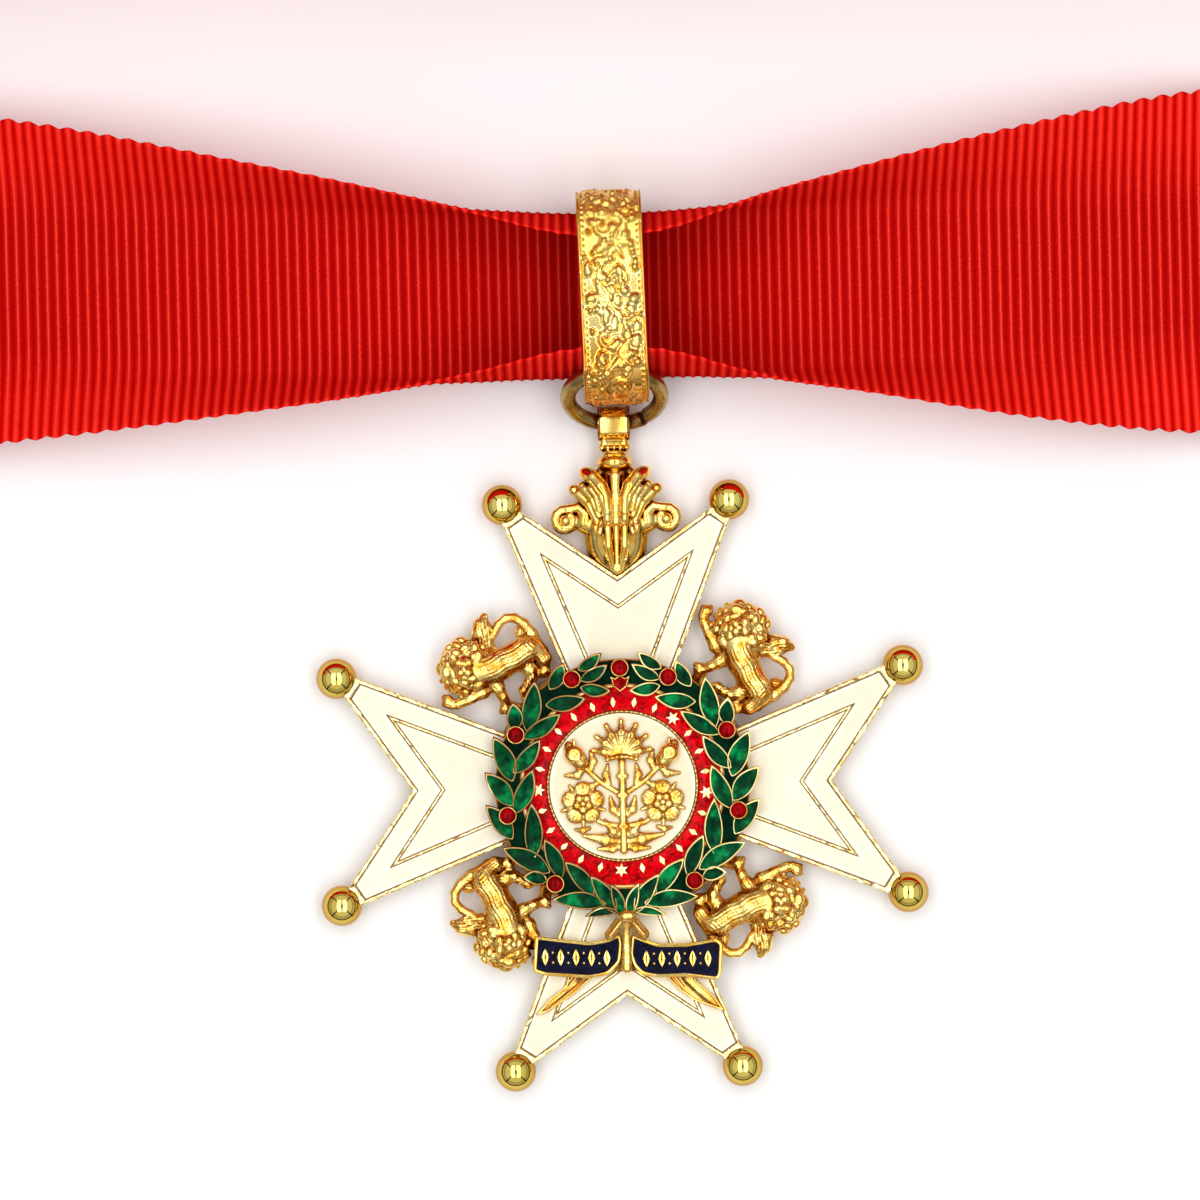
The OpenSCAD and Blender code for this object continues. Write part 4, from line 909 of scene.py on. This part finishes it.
def make_medallion():
    shape, red, disc = Shape(), Shape(), Shape()
    r = BOSS_R + 0.5
    lathe(shape, [(AXIS, TOP_Z), (r, TOP_Z), (r, DECK_Z - 0.12), (r - 0.12, DECK_Z), (AXIS, DECK_Z)],
          n=128, closed=False)
    r, z = CENTRE_R + 0.05, DECK_Z + CENTRE_H + 0.06
    rope = lambda r, h, a: h + 0.045 * np.sin(96 * a + 3 * r) * (h > z - 0.09)
    lathe(shape, [(r, DECK_Z), (r + 0.34, DECK_Z), (r + 0.34, z - 0.16), (r + 0.27, z - 0.04), (r + 0.17, z),
                  (r + 0.07, z - 0.04), (r, z - 0.16)], n=576, wobble=rope)
    for i in range(MARK_N):
        a = MARK_START + i * 360 / MARK_N
        mark, edge = (star(6, 0.84, 0.4), 0.7) if i in STARS else (lozenge(0.34, 0.64), 0.6)
        raised(shape, mark, polar(a, MARK_R), -a, DECK_Z, DECK_Z + RING_T + 0.09, edge)
    put("medallion_disc", shape, GILT_LINE, "medallion", merge=0.001)
    low, z = DECK_Z + 0.02, DECK_Z + RING_T
    r0, r1 = CENTRE_R + 0.42, FOOT_IN - 0.02
    lathe(red, [(r0, z + 0.05), (r0 + 0.14, z), (r1 - 0.12, z), (r1, z + 0.05), (r1, low), (r0, low)], n=160)
    put("ring_enamel", red, RED_E, "red_ring")
    r, z = CENTRE_R + 0.03, DECK_Z + CENTRE_H
    lathe(disc, [(AXIS, low), (r, low), (r, z + 0.03), (r - 0.15, z - 0.02), (r - 0.5, z - 0.035),
                 (4.0, z - 0.01), (AXIS, z)], n=128, closed=False)
    put("centre_enamel", disc, PALE_E, "centre_disc", merge=0.001)


def leaf_width(t):
    """Share of a leaf's width from its foot (0) to its tip (1)."""
    return np.maximum(np.sin(math.pi * np.clip(t, 0, 1) ** 0.86) ** 0.82, 0.1 * (1 - t))


# rise to the tip, share hidden at the foot, and what the width is multiplied by
LEAF_RISE, LEAF_UNDER, LEAF_WIDER = 0.5, 0.12, 1.08


def leaf_loops(row, side, profile, foot, top):
    """Loops of a leaf for rows of inset and height, tilted up to its tip."""
    a, b = polar(side * row[0], row[1]), polar(side * row[2], row[3])
    a = a - (b - a) * LEAF_UNDER
    u = unit(b - a)
    t = np.linspace(0, 1, 13)
    tilt = (np.concatenate([t, t[::-1]]) - 0.62) * LEAF_RISE
    loops = []
    for d, dz in profile:
        p, q = a + u * d * 1.1, b - u * d * 2.0
        mid = p + (q - p) * t[:, None] + 0.16 * side * np.sin(math.pi * t)[:, None] * left(u)
        w = (leaf_width(t) * (row[4] * LEAF_WIDER / 2 - d))[:, None] * left(u)
        z = np.full(len(tilt), foot) if dz is None else top + tilt + dz
        loops.append(np.column_stack([np.vstack([mid - w, (mid + w)[::-1]]), z])[::side])
    return loops


def make_wreath():
    metal, green, ground, berry, cups = (Shape() for _ in range(5))
    base = LEAF_Z
    rim = [(0.0, None), (0.0, -0.16), (0.03, -0.06), (0.09, 0.0), (0.15, 0.0), (0.21, -0.06), (0.24, -0.16),
           (0.24, -0.34)]
    enamelled = [(0.23, -0.34), (0.23, -0.13), (0.28, -0.18), (0.4, -0.22)]
    for k, row in enumerate(LEAVES):
        for side in (-1, 1):
            top = base + LEAF_T - 0.03 * (k % 3)
            loft(metal, leaf_loops(row, side, rim, base - 0.02, top))
            loft(green, leaf_loops(row, side, enamelled, base, top))
    z, r0, r1 = base + 0.08, FOOT_IN, FOOT_OUT
    lathe(metal, [(r0, DECK_Z), (r1, DECK_Z), (r1, base), (r1 + 0.35, base), (r1 + 0.4, z), (r0 + 0.25, z),
                  (r0 + 0.2, base), (r0, base)], n=160)
    lathe(ground, [(r0 + 0.4, z - 0.02), (r1 + 0.25, z - 0.02), (r1 + 0.25, z + 0.08), (r0 + 0.4, z + 0.08)],
          n=160)
    top, r = base + LEAF_T + 0.42, BERRY_R
    lip = [(r - 0.03 + (0.13 + 0.1 * math.cos(a)), top - 0.1 + 0.09 * math.sin(a))
           for a in (k * math.pi / 6 for k in range(7))]
    dome = [((r - 0.01) * math.cos(a), top - 0.16 + 0.36 * math.sin(a))
            for a in (k * math.pi / 16 for k in range(8))]
    cup = [(r, base), (BERRY_CUP_R + 0.03, base)] + lip + [(r, top - 0.3)]
    bead = [(AXIS, top - 0.5), (r - 0.01, top - 0.5)] + dome + [(AXIS, top + 0.2)]
    for s in (-1, 1):
        for a in BERRY_AT[(s < 0):]:
            at = polar(s * a, BERRY_PITCH)
            lathe(cups, cup, at, 40)
            lathe(berry, bead, at, 40, closed=False)
    # bud below the topmost berry
    bud = [(0, 10.5), (0.75, 11.1), (1.15, 12.35), (0.55, 12.05), (0, 12.4), (-0.55, 12.05), (-1.15, 12.35),
           (-0.75, 11.1)]
    z = base + LEAF_T + 0.12
    tiers(cups, bud, [(0, base), (0, z - 0.1), (0.05, z), (0.14, z), (0.19, z - 0.1), (0.19, z - 0.3)])
    tiers(berry, bud, [(0.18, z - 0.3), (0.18, z - 0.1), (0.26, z - 0.06)])
    put("wreath_metal", metal, GILT_PALE, "wreath", angle=50, merge=0.001)
    put("berry_cups", cups, GILT_CAST, angle=50, merge=0.001)
    put("wreath_enamel", green, GREEN_E, "wreath_leaves", angle=60, merge=0.001)
    put("wreath_ground", ground, DARK_GREEN)
    put("berry_enamel", berry, BERRY_E, "berries", merge=0.001)


def rosette(c, cx, cy, z):
    """Two rings of petals round a boss, with leaves between them."""
    for i in range(5):
        a = math.radians(18 + 72 * i)
        p = lambda reach, turn=0.0: (cx + reach * math.cos(a + turn), cy + reach * math.sin(a + turn))
        c.limb((*p(1.3, 0.63), z), 0.4, (*p(2.35, 0.63), z), 0.16, 0.05)
        c.egg((*p(1.45), z + 0.2), (0.88, 0.96, 0.42), 0.02, math.degrees(a))
        for lean in (-0.3, 0.0, 0.3):
            c.dent((*p(0.85, 0.5 * lean), z + 0.78), 0.1, (*p(2.25, lean), z + 0.52), 0.12, 0.05)
        c.egg((*p(0.66, 0.63), z + 0.55), (0.42, 0.46, 0.34), 0.03, math.degrees(a) + 36)
    c.egg((cx, cy, z + 0.75), (0.36, 0.36, 0.3), 0.03)


# x, y and radius at the foot, the middle and the tip of each leaf of the sprig
SPRIG_LEAVES = [
    [(4.0, 1.9, 0.3), (4.7, 1.1, 0.46), (6.0, 1.1, 0.16)],
    [(3.4, 1.4, 0.26), (3.0, 2.5, 0.42), (3.3, 3.6, 0.15)],
    [(1.4, -0.1, 0.26), (1.7, 1.1, 0.44), (1.5, 2.1, 0.15)],
    [(2.4, 0.3, 0.22), (3.2, -0.1, 0.34), (3.9, 0.3, 0.14)],
    [(0.2, -6.0, 0.3), (1.9, -5.75, 0.72), (4.2, -5.3, 0.16)],
    [(0.2, -5.4, 0.25), (1.1, -4.9, 0.5), (1.9, -3.7, 0.15)],
    [(0.1, -6.4, 0.2), (1.2, -6.75, 0.42), (2.7, -6.7, 0.14)],
    [(0.2, -3.4, 0.26), (1.0, -2.6, 0.5), (1.3, -1.3, 0.15)],
    [(3.6, -4.5, 0.2), (4.3, -4.75, 0.34), (5.1, -4.6, 0.12)],
]


def make_sprig():
    z = DECK_Z + CENTRE_H + 0.12
    c = Clay((-7.6, -7.6, z - 0.4), (7.6, 7.6, z + 1.2), 0.075)
    for y in (-4.4, -1.1, 0.9):
        c.limb((-0.3, y, z + 0.15), 0.36, (0.3, y, z + 0.15), 0.36, 0.05)
    c.limb((0, -6.9, z), 0.45, (0, 3.2, z + 0.1), 0.4, 0.08)
    # palmette on the staff
    for a, reach, r in ((0, 3.2, 0.62), (27, 3.1, 0.6), (54, 2.9, 0.56), (81, 2.7, 0.5)):
        dx, dy = math.sin(math.radians(a)), math.cos(math.radians(a))
        at = lambda k, up: (k * dx, 3.2 + k * dy, z + up)
        for c.side in (-1, 1)[a == 0:]:
            c.path([(*at(0.3, 0.15), 0.3), (*at(0.7 * reach, 0.35), r), (*at(reach, 0.15), 0.3)], 0.05)
            c.dent(at(0.5, 0.75), 0.06, at(0.85 * reach, 0.95), 0.1, 0.05)
            c.egg(at(reach + 0.3, 0.2), (0.3, 0.3, 0.32), 0.03)
    for k in range(-3, 4):
        c.egg((k * 0.5, 2.95 - 0.03 * k * k, z + 0.5), (0.29, 0.29, 0.3), 0.03)
    for s in (-1, 1):
        # the rosettes are placed, not mirrored
        c.side = s
        c.path([(0.1, -4.4, z, 0.28), (2.2, -4.0, z + 0.05, 0.28), (3.6, -3.2, z + 0.05, 0.26)], 0.06)
        c.side = 1
        rosette(c, 4.2 * s, -1.9, z)
        # bud with its leaves on a stem
        c.side = s
        c.path([(0.1, -1.1, z, 0.28), (2.4, 0.4, z + 0.05, 0.28), (4.3, 2.3, z + 0.05, 0.3)], 0.06)
        c.path([(4.4, 2.5, z + 0.15, 0.85), (5.0, 3.3, z + 0.35, 1.0), (5.5, 4.2, z + 0.2, 0.5)], 0.08)
        for k in (-1, 0, 1):
            lean, part = 0.42 * k * s, 0.42 * k
            c.limb((4.8, 2.9, z + 0.95), 0.16, (5.45 + lean, 4.35 - lean, z + 0.55), 0.15, 0.04)
            c.dent((4.5 + 0.3 * k, 2.5 - 0.3 * k, z + 1.0), 0.09,
                   (5.1 + part, 3.5 - part, z + 1.1), 0.09, 0.05)
        for foot, mid, tip in SPRIG_LEAVES:
            c.path([(*foot[:2], z, foot[2]), (*mid[:2], z + 0.15, mid[2]), (*tip[:2], z, tip[2])], 0.05, 0.75)
            high = z + 0.2 + 0.75 * mid[2]
            dx, dy = mid[0] - foot[0], mid[1] - foot[1]
            c.dent((*foot[:2], high), 0.06, (*mid[:2], high), 0.09, 0.06)
            for k in (0.35, 0.6, 0.85):
                x, y = foot[0] + dx * k, foot[1] + dy * k
                for n in (-1, 1):
                    vein = (x + 0.2 * dx - 0.3 * n * dy, y + 0.2 * dy + 0.3 * n * dx, high - 0.2)
                    c.dent((x, y, high), 0.05, vein, 0.06, 0.05)
    c.swell(0.03)
    c.above(DECK_Z + CENTRE_H - 0.04)
    points, faces = c.mesh()
    points[:, :2] = (points[:, :2] + [0, 0.15]) * 1.06
    put("centre_relief", Shape(points, faces), GILT_CAST, "sprig", angle=0)


make_back()
make_medallion()
make_wreath()
make_sprig()


# knot and scroll

# outline of each half of the scroll and of its tail, right (1) and left (-1)
SCROLL = {
    1: [(0.6, 2.74), (0.29, 0.5), (0.69, -0.9), (1.69, -1.94), (3.4, -2.3), (6.67, -2.23), (10.1, -2.75),
        (10.55, -2.15), (10.8, 1.45), (10.05, 2.0), (6.77, 1.5), (3.5, 1.54), (1.79, 2.2)],
    -1: [(-10.15, 2.74), (-10.5, -1.3), (-9.15, -1.76), (-4.17, -2.2), (-2.09, -1.85), (-0.68, -0.5),
         (-0.37, 1.73), (-0.69, 2.85), (-1.99, 2.2), (-4.07, 1.9), (-7.33, 2.33)],
}
TAILS = {
    1: [(4.3, -1.8), (4.7, -2.6), (5.8, -3.75), (7.5, -5.0), (10.9, -6.3), (9.7, -4.55), (7.7, -2.7),
        (7.5, -1.8)],
    -1: [(-6.6, -1.8), (-6.9, -3.1), (-8.7, -4.4), (-10.3, -6.2), (-8.9, -5.85), (-6.28, -4.15),
         (-4.17, -2.4), (-3.6, -1.8)],
}


def scroll_loop(side, d):
    """Rounded outline of a half of the scroll inset by d."""
    pts = split(np.array(SCROLL[side]), 0.3)
    for _ in range(2):
        pts = (pts + 0.5 * (np.roll(pts, 1, 0) + np.roll(pts, -1, 0))) / 2
    v = np.roll(pts, -1, 0) - np.roll(pts, 1, 0)
    v /= np.linalg.norm(v, axis=1)[:, None]
    return pts + np.column_stack([-v[:, 1], v[:, 0]]) * d + np.array([0, SCROLL_Y])


def make_scroll():
    gilt, navy = Shape(), Shape()
    z0, z1, rim_w = TOP_Z + 0.02, TOP_Z + SCROLL_T, 0.46
    for side in (-1, 1):
        rim = [(0, z0)] + [(rim_w * k, z1 + dz * 0.8) for k, dz in ROUND_LINE] + [(rim_w, z0)]
        rim = np.array([raise_to(scroll_loop(side, d), z) for d, z in rim])
        gilt.add(rim, skin(*rim.shape[:2], True, True))
        # navy field, its edge hidden in the rim
        outline = scroll_loop(side, 0)
        field, hide = [], rim_w - 0.04
        for x in np.linspace(outline[:, 0].min() + hide, outline[:, 0].max() - hide, 48):
            hits = [a[1] + (b[1] - a[1]) * (x - a[0]) / (b[0] - a[0])
                    for a, b in zip(outline, np.roll(outline, -1, 0)) if (a[0] - x) * (b[0] - x) < 0]
            low, high = min(hits) + hide, max(hits) - hide
            field.append(np.array([(x, low, z1 - 0.14), (x, (low + high) / 2, z1 - 0.13),
                                   (x, high, z1 - 0.14), (x, high, z0 + 0.1), (x, low, z0 + 0.1)]))
        loft(navy, field)
        # lozenges and beads where the words would be
        for k in range(5):
            x, y = side * (2.2 + 1.72 * k), SCROLL_Y + (-0.13 - 0.03 * k if side > 0 else 0.05 + 0.07 * k)
            raised(gilt, lozenge(0.42, 0.95), np.array([x, y]), 0, z1 - 0.3, z1 - 0.02, 0.5)
            for dy in (-0.55, 0.55) if k < 4 else ():
                ball(gilt, (x + side * 0.86, y + dy, z1 - 0.12), 0.18, 8, 12)
        # pointed tail that shows below, with two ribs along it
        tail = np.array(TAILS[side]) + np.array([0, SCROLL_Y])
        tiers(gilt, tail, [(0, z0), (0, z0 + 0.42), (0.05, z0 + 0.52), (0.13, z0 + 0.55), (0.22, z0 + 0.5),
                           (0.26, z0 + 0.34), (0.3, z0 + 0.32)])
        for x in (0.7, 1.15):
            a, b = (tail[i] * (1 - x / 3) + tail[j] * x / 3 for i, j in ((0, -1), (2, -2)))
            w = left(unit(b - a)) * 0.12
            loft(gilt, [raise_to(np.array([a - w * k, b - w * k, b + w * k, a + w * k]), z0 + h)
                        for k, h in ((1, 0.3), (1, 0.4), (0.4, 0.48))])
    block = np.array([(-1.4, -1.5), (1.4, -1.5), (1.4, 1.4), (-1.4, 1.4)]) + np.array([0, SCROLL_Y])
    loft(gilt, [raise_to(block, z0), raise_to(block, z1 - 0.45)])
    put("scroll_frame", gilt, GILT, "scroll", angle=50)
    put("scroll_fill", navy, NAVY_E, "scroll_enamel", angle=50)


def make_knot():
    top, strap, y = LEAF_Z + LEAF_T, TOP_Z + SCROLL_T, KNOT_Y
    c = Clay((-4.0, -22.4, strap - 0.4), (4.0, -12.6, top + 1.9), 0.08)
    c.egg((0.2, y, top + 0.6), (1.1, 0.68, 0.7), 0.12)
    for s in (-1, 1):
        # flat tails with a ridge along them
        c.limb((0.45 * s + 0.1, y - 0.3, top + 0.35), 0.62, (1.85 * s + 0.1, y - 2.1, top), 0.68, 0.06, 0.5)
        c.limb((0.45 * s + 0.1, y - 0.4, top + 0.75), 0.18, (1.9 * s + 0.1, y - 2.2, top + 0.38), 0.2, 0.3)
        c.dent((0.3 * s + 0.2, y + 0.5, top + 1.4), 0.09, (0.35 * s + 0.2, y - 0.55, top + 1.3), 0.09, 0.08)
    c.path([(0.1, y - 0.6, top + 0.2, 0.5), (0.05, -16.6, strap + 0.4, 0.52), (0, -19.0, strap + 0.1, 0.54),
            (0, -20.3, strap, 0.6)], 0.12, 0.8)
    c.above(strap - 0.25)
    put("tied_knot", Shape(*c.mesh()), GILT_CAST, "knot", angle=0)


make_scroll()
make_knot()


# jump ring

def make_jump_ring():
    wire, n = JUMP_WIRE / 2, 120
    b = np.arange(20) * TAU / 20
    rows = []
    for k, t in enumerate(np.linspace(0, TAU - 0.35 / JUMP_R, n)):
        pinch = 0.9 if k in (0, n - 1) else 1.0
        r = JUMP_R + wire * pinch * np.cos(b)
        slip = 0.16 * max(0.0, (t - TAU + 1.2) / 1.2) ** 2
        rows.append(np.column_stack([r * math.cos(t), r * math.sin(t), wire * pinch * np.sin(b) + slip]))
    spin = Matrix.Rotation(math.radians(JUMP_TILT), 3, "X") @ Matrix.Rotation(math.radians(-48), 3, "Z")
    shape = Shape()
    loft(shape, np.array(rows) @ np.array(spin).T + np.array(JUMP_C))
    put("split_ring", shape, OLIVE, "jump_ring", angle=50)


make_jump_ring()


# ribbon ring

def loop_path(s, lift):
    """Point and outward direction round the ribbon ring at a distance along its outline."""
    l, d, r = LOOP_L / 2, LOOP_D / 2, LOOP_CORNER
    fy, fz, arc = l - r, d - r, math.pi / 2 * r
    legs = [fz, arc, 2 * fy, arc, 2 * fz, arc, 2 * fy, arc, fz]
    total = sum(legs)
    s = np.mod(s, total)
    y, z, a = np.zeros_like(s), np.zeros_like(s), np.zeros_like(s)
    start = 0.0
    corners = [(fy, fz), (-fy, fz), (-fy, -fz), (fy, -fz)]
    for i, leg in enumerate(legs):
        here = (s >= start) & (s < start + leg + 1e-9)
        q = s[here] - start
        side = i // 2 % 4
        if i % 2:
            (cy, cz), t = corners[side], np.radians(90 * side) + q / r
            y[here], z[here], a[here] = cy + r * np.cos(t), cz + r * np.sin(t), t
        else:
            y[here] = (l, fy - q, -l, -fy + q)[side]
            z[here] = (q if i == 0 else q - fz, d, fz - q, -d)[side]
            a[here] = np.radians(90 * side)
        start += leg
    return y + lift * np.cos(a), z + lift * np.sin(a), total


def ring_relief(s, x, total):
    """Height of the cast stem, leaves, scrolls and berries over the ribbon ring's ground."""
    h = np.zeros((len(s), len(x)))

    def stroke(points, top):
        for (s0, x0, r0), (s1, x1, r1) in zip(points[:-1], points[1:]):
            lo, hi = min(s0, s1) - max(r0, r1), max(s0, s1) + max(r0, r1)
            rows = np.nonzero((np.mod(s - lo, total) <= hi - lo))[0]
            sr = lo + np.mod(s[rows] - lo, total)
            ds, dx = s1 - s0, x1 - x0
            t = np.clip(((sr[:, None] - s0) * ds + (x[None, :] - x0) * dx) / (ds * ds + dx * dx + 1e-9), 0, 1)
            d = np.hypot(sr[:, None] - s0 - ds * t, x[None, :] - x0 - dx * t) / (r0 + (r1 - r0) * t)
            h[rows] = np.maximum(h[rows], top * np.clip(1 - d * d, 0, 1) ** 1.2)

    dot = lambda s0, x0, r, top: stroke([(s0, x0, r)] * 2, top)
    rng = np.random.default_rng(23)
    count = 11
    step = total / count
    for i in range(count):
        c, g = (i + 0.5) * step, 1 if i % 2 else -1
        stroke([(c + u * step, g * 1.6 * math.cos(math.pi * u), 0.46)
                for u in (k / 8 - 0.5 for k in range(9))], 0.36)
        curl = [(0.4 + 0.55 * k, 1.4 - 0.13 * k) for k in range(9)]
        stroke([(c + w * math.sin(g * a), g * (0.9 * w * math.cos(a) - 0.9), 0.42) for a, w in curl], 0.42)
        dot(c, -0.9 * g, 0.5, 0.52)
        # leaf of three lobes, then a bunch of berries
        for turn, size in ((-50, 0.6), (0, 0.8), (50, 0.6)):
            a = math.radians(turn + 15 * rng.uniform(-1, 1))
            at = lambda k: (c + 1.9 + k * math.sin(a), g * (0.3 + k * math.cos(a)))
            stroke([(*at(0.2), 0.3), (*at(1.0), size), (*at(1.5), 0.7 * size), (*at(2.2), 0.2)], 0.46)
        for k in range(9):
            a, reach = math.radians(137.5 * k), 0.5 * math.sqrt(k)
            dot(c - 2.0 + reach * math.cos(a), 1.8 * g + reach * math.sin(a), 0.47, 0.56 - 0.02 * k)
    for _ in range(260):
        dot(rng.uniform(0, total), rng.uniform(-2.7, 2.7), rng.uniform(0.5, 0.85), rng.uniform(0.4, 0.62))
    pearls = int(total / 0.7)
    for k in range(pearls):
        for g in (-1, 1):
            dot((k + 0.5) * total / pearls, 3.0 * g, 0.24, 0.26)
    return (h + np.roll(h, 1, 0) + np.roll(h, -1, 0)) / 3


def ring_gold():
    """Cast gold, pale in the middle, with painted shade towards both ends of the ring: amber at the lower end
    and dull at the top, where it is also rougher.
    """
    m = gold("gilt_ring", (1.0, 0.85, 0.34), (1.0, 0.7, 0.17), 0.24, pits=0.008, grain=0.5,
             corner_shade=(0.45, 0.24, 0.06), reach=0.5)
    middle, half = LOOP_C[1], LOOP_L / 2
    # painted shade towards both ends of the ring, amber at the lower end
    share = shade_along(m, "Y", middle - half, middle + half, (0.0, 0.85, 0.5, 0.25), (0.22, 0.95, 0.75, 0.5),
                 (0.36, 1.0), (0.62, 1.0), (0.75, 0.92, 0.85, 0.62), (1.0, 0.9, 0.82, 0.58))
    nt = m.node_tree
    rough = ramp(nt, share, (0.0, 0.16), (0.3, 0.2), (0.62, 0.24), (0.78, 0.42))
    fill(nt, nt.nodes["Principled BSDF"], {"Roughness": rough})
    return m


RING_GOLD = ring_gold()


def make_ribbon_ring():
    rows, half = 640, LOOP_W / 2
    total = loop_path(np.zeros(1), 0)[2]
    s = np.arange(rows) * total / rows
    rim = np.array([0, 0.05, 0.12, 0.22, 0.3])
    x = np.concatenate([-half + rim, np.linspace(-half + 0.38, half - 0.38, 60), half - rim[::-1]])
    edge = np.interp(np.abs(x), half - np.array([0.4, *rim[::-1]]), [0.05, 0.24, 0.3, 0.3, 0.24, 0.12])
    relief = ring_relief(s, x, total) * (np.abs(x) < half - 0.36)[None, :]
    lift = -0.42 + np.maximum(edge[None, :], relief)
    inner = -LOOP_T - RELIEF
    under = [(half, inner + 0.12), (half - 0.1, inner), (-half + 0.1, inner), (-half, inner + 0.12)]
    cols = [*zip(x, lift.T)] + [(xi, np.full(rows, li)) for xi, li in under]
    p = [np.column_stack([np.full(rows, xi), *loop_path(s, li)[:2]]) for xi, li in cols]
    p = turned(np.array(p).transpose(1, 0, 2), LOOP_LEAN) + np.array(LOOP_C)
    shape = Shape(p, skin(rows, len(cols), True, True))
    put("relief_ring", shape, RING_GOLD, "ribbon_ring", angle=60)


make_ribbon_ring()


# clasp

def make_clasp():
    inner, wall, top, r = 0.65, 0.8, 39.95, 0.35
    y1 = inner + wall
    side = [(-y1, 0.0), (-y1, top - r), (-y1 + 0.3 * r, top - 0.3 * r), (-y1 + r, top), (y1 - r, top),
            (y1 - 0.3 * r, top - 0.3 * r), (y1, top - r), (y1, 0.0), (inner, 0.0), (inner, top - wall),
            (-inner, top - wall), (-inner, 0.0)]
    # place along the sleeve, and how far its outside is drawn in there
    half = [(2.9, 0.0), (3.0, 0.12), (3.3, 0.12), (3.4, 0.0), (4.1, 0.0), (4.35, 0.06), (4.5, 0.25)]
    rows = []
    for x, k in [(-x, k) for x, k in half[::-1]] + half:
        rows.append([(x, BACK_Y + (y - k * math.copysign(1, y) * (i < 8)), z - (k if i < 8 and z > 5 else 0))
                     for i, (y, z) in enumerate(side)])
    n, m = len(rows), len(side)
    ends = [[0, 1, 10, 11], [1, 2, 3, 10], [3, 4, 9, 10], [4, 5, 6, 9], [6, 7, 8, 9]]
    faces = skin(n, m, False, True) + [e[::-1] for e in ends] + [[(n - 1) * m + i for i in e] for e in ends]
    put("ribbon_clasp", Shape(rows, faces), GILT_PLAIN, "clasp", angle=40)


make_clasp()


# floor, light and camera

def make_stage():
    mesh = bpy.data.meshes.new("floor")
    r = 3.0
    mesh.from_pydata([(-r, -r, 0), (r, -r, 0), (r, r, 0), (-r, r, 0)], [], [(0, 1, 2, 3)])
    m, nt, s = nodes_of("paper")
    fill(nt, s, {"Base Color": ramp(nt, noise(nt, 40, 2), (0.3, 0.9, 0.9, 0.91), (0.7, 0.93, 0.93, 0.935)),
                 "Roughness": 0.9})
    mesh.materials.append(m)
    placed("floor", mesh)


def make_light():
    """A bright tent with dark seams, and two soft boxes beside the camera."""
    world = bpy.data.worlds.new("studio")
    bpy.context.scene.world = world
    world.use_nodes = True
    nt = world.node_tree
    x, y, z = places_of(nt, "Generated")
    tent = ramp(nt, z, (0.0, 0.5), (0.03, 0.1, 0.08, 0.06), (0.14, 0.12, 0.1, 0.08), (0.24, 0.42, 0.41, 0.4),
                (0.36, 0.5), (0.41, 0.04), (0.47, 0.6), (0.9, 0.68), (0.985, 0.5), (1.0, 0.4))
    off = maths(nt, "SUBTRACT", maths(nt, "ABSOLUTE", x), maths(nt, "ABSOLUTE", y))
    seam = ramp(nt, maths(nt, "ABSOLUTE", off), (0.05, 0.03), (0.1, 1.0))
    fill(nt, nt.nodes["Background"], {"Color": mixed(nt, 1.0, tent, seam), "Strength": 1.0})
    for name, side in (("left_box", -1), ("right_box", 1)):
        data = bpy.data.lights.new(name, "AREA")
        data.shape, data.size, data.size_y, data.energy = "RECTANGLE", 0.36, 1.2, 4.0
        where = Vector((side * 0.28, 0.02, 0.9))
        back = (where - Vector((side * 0.12, 0.02, 0))).normalized()
        right = Vector((0, 1, 0)).cross(back).normalized()
        axes = Matrix((right, back.cross(right), back)).transposed().to_4x4()
        placed(name, data).matrix_world = Matrix.Translation(where) @ axes


def make_camera():
    centre, height, half_view, roll = (-0.002, 0.0208), 0.65, 0.0674, 1.4
    data = bpy.data.cameras.new("camera")
    data.sensor_width = 36
    data.lens = data.sensor_width / 2 * height / half_view
    data.clip_start, data.clip_end = 0.01, 10
    cam = placed("camera", data)
    cam.location = (*centre, height)
    cam.rotation_euler = (0, 0, math.radians(-roll))
    bpy.context.scene.camera = cam


make_stage()
make_light()
make_camera()
bpy.context.scene.view_settings.view_transform = "Standard"
bpy.context.scene.view_settings.exposure = 0.0
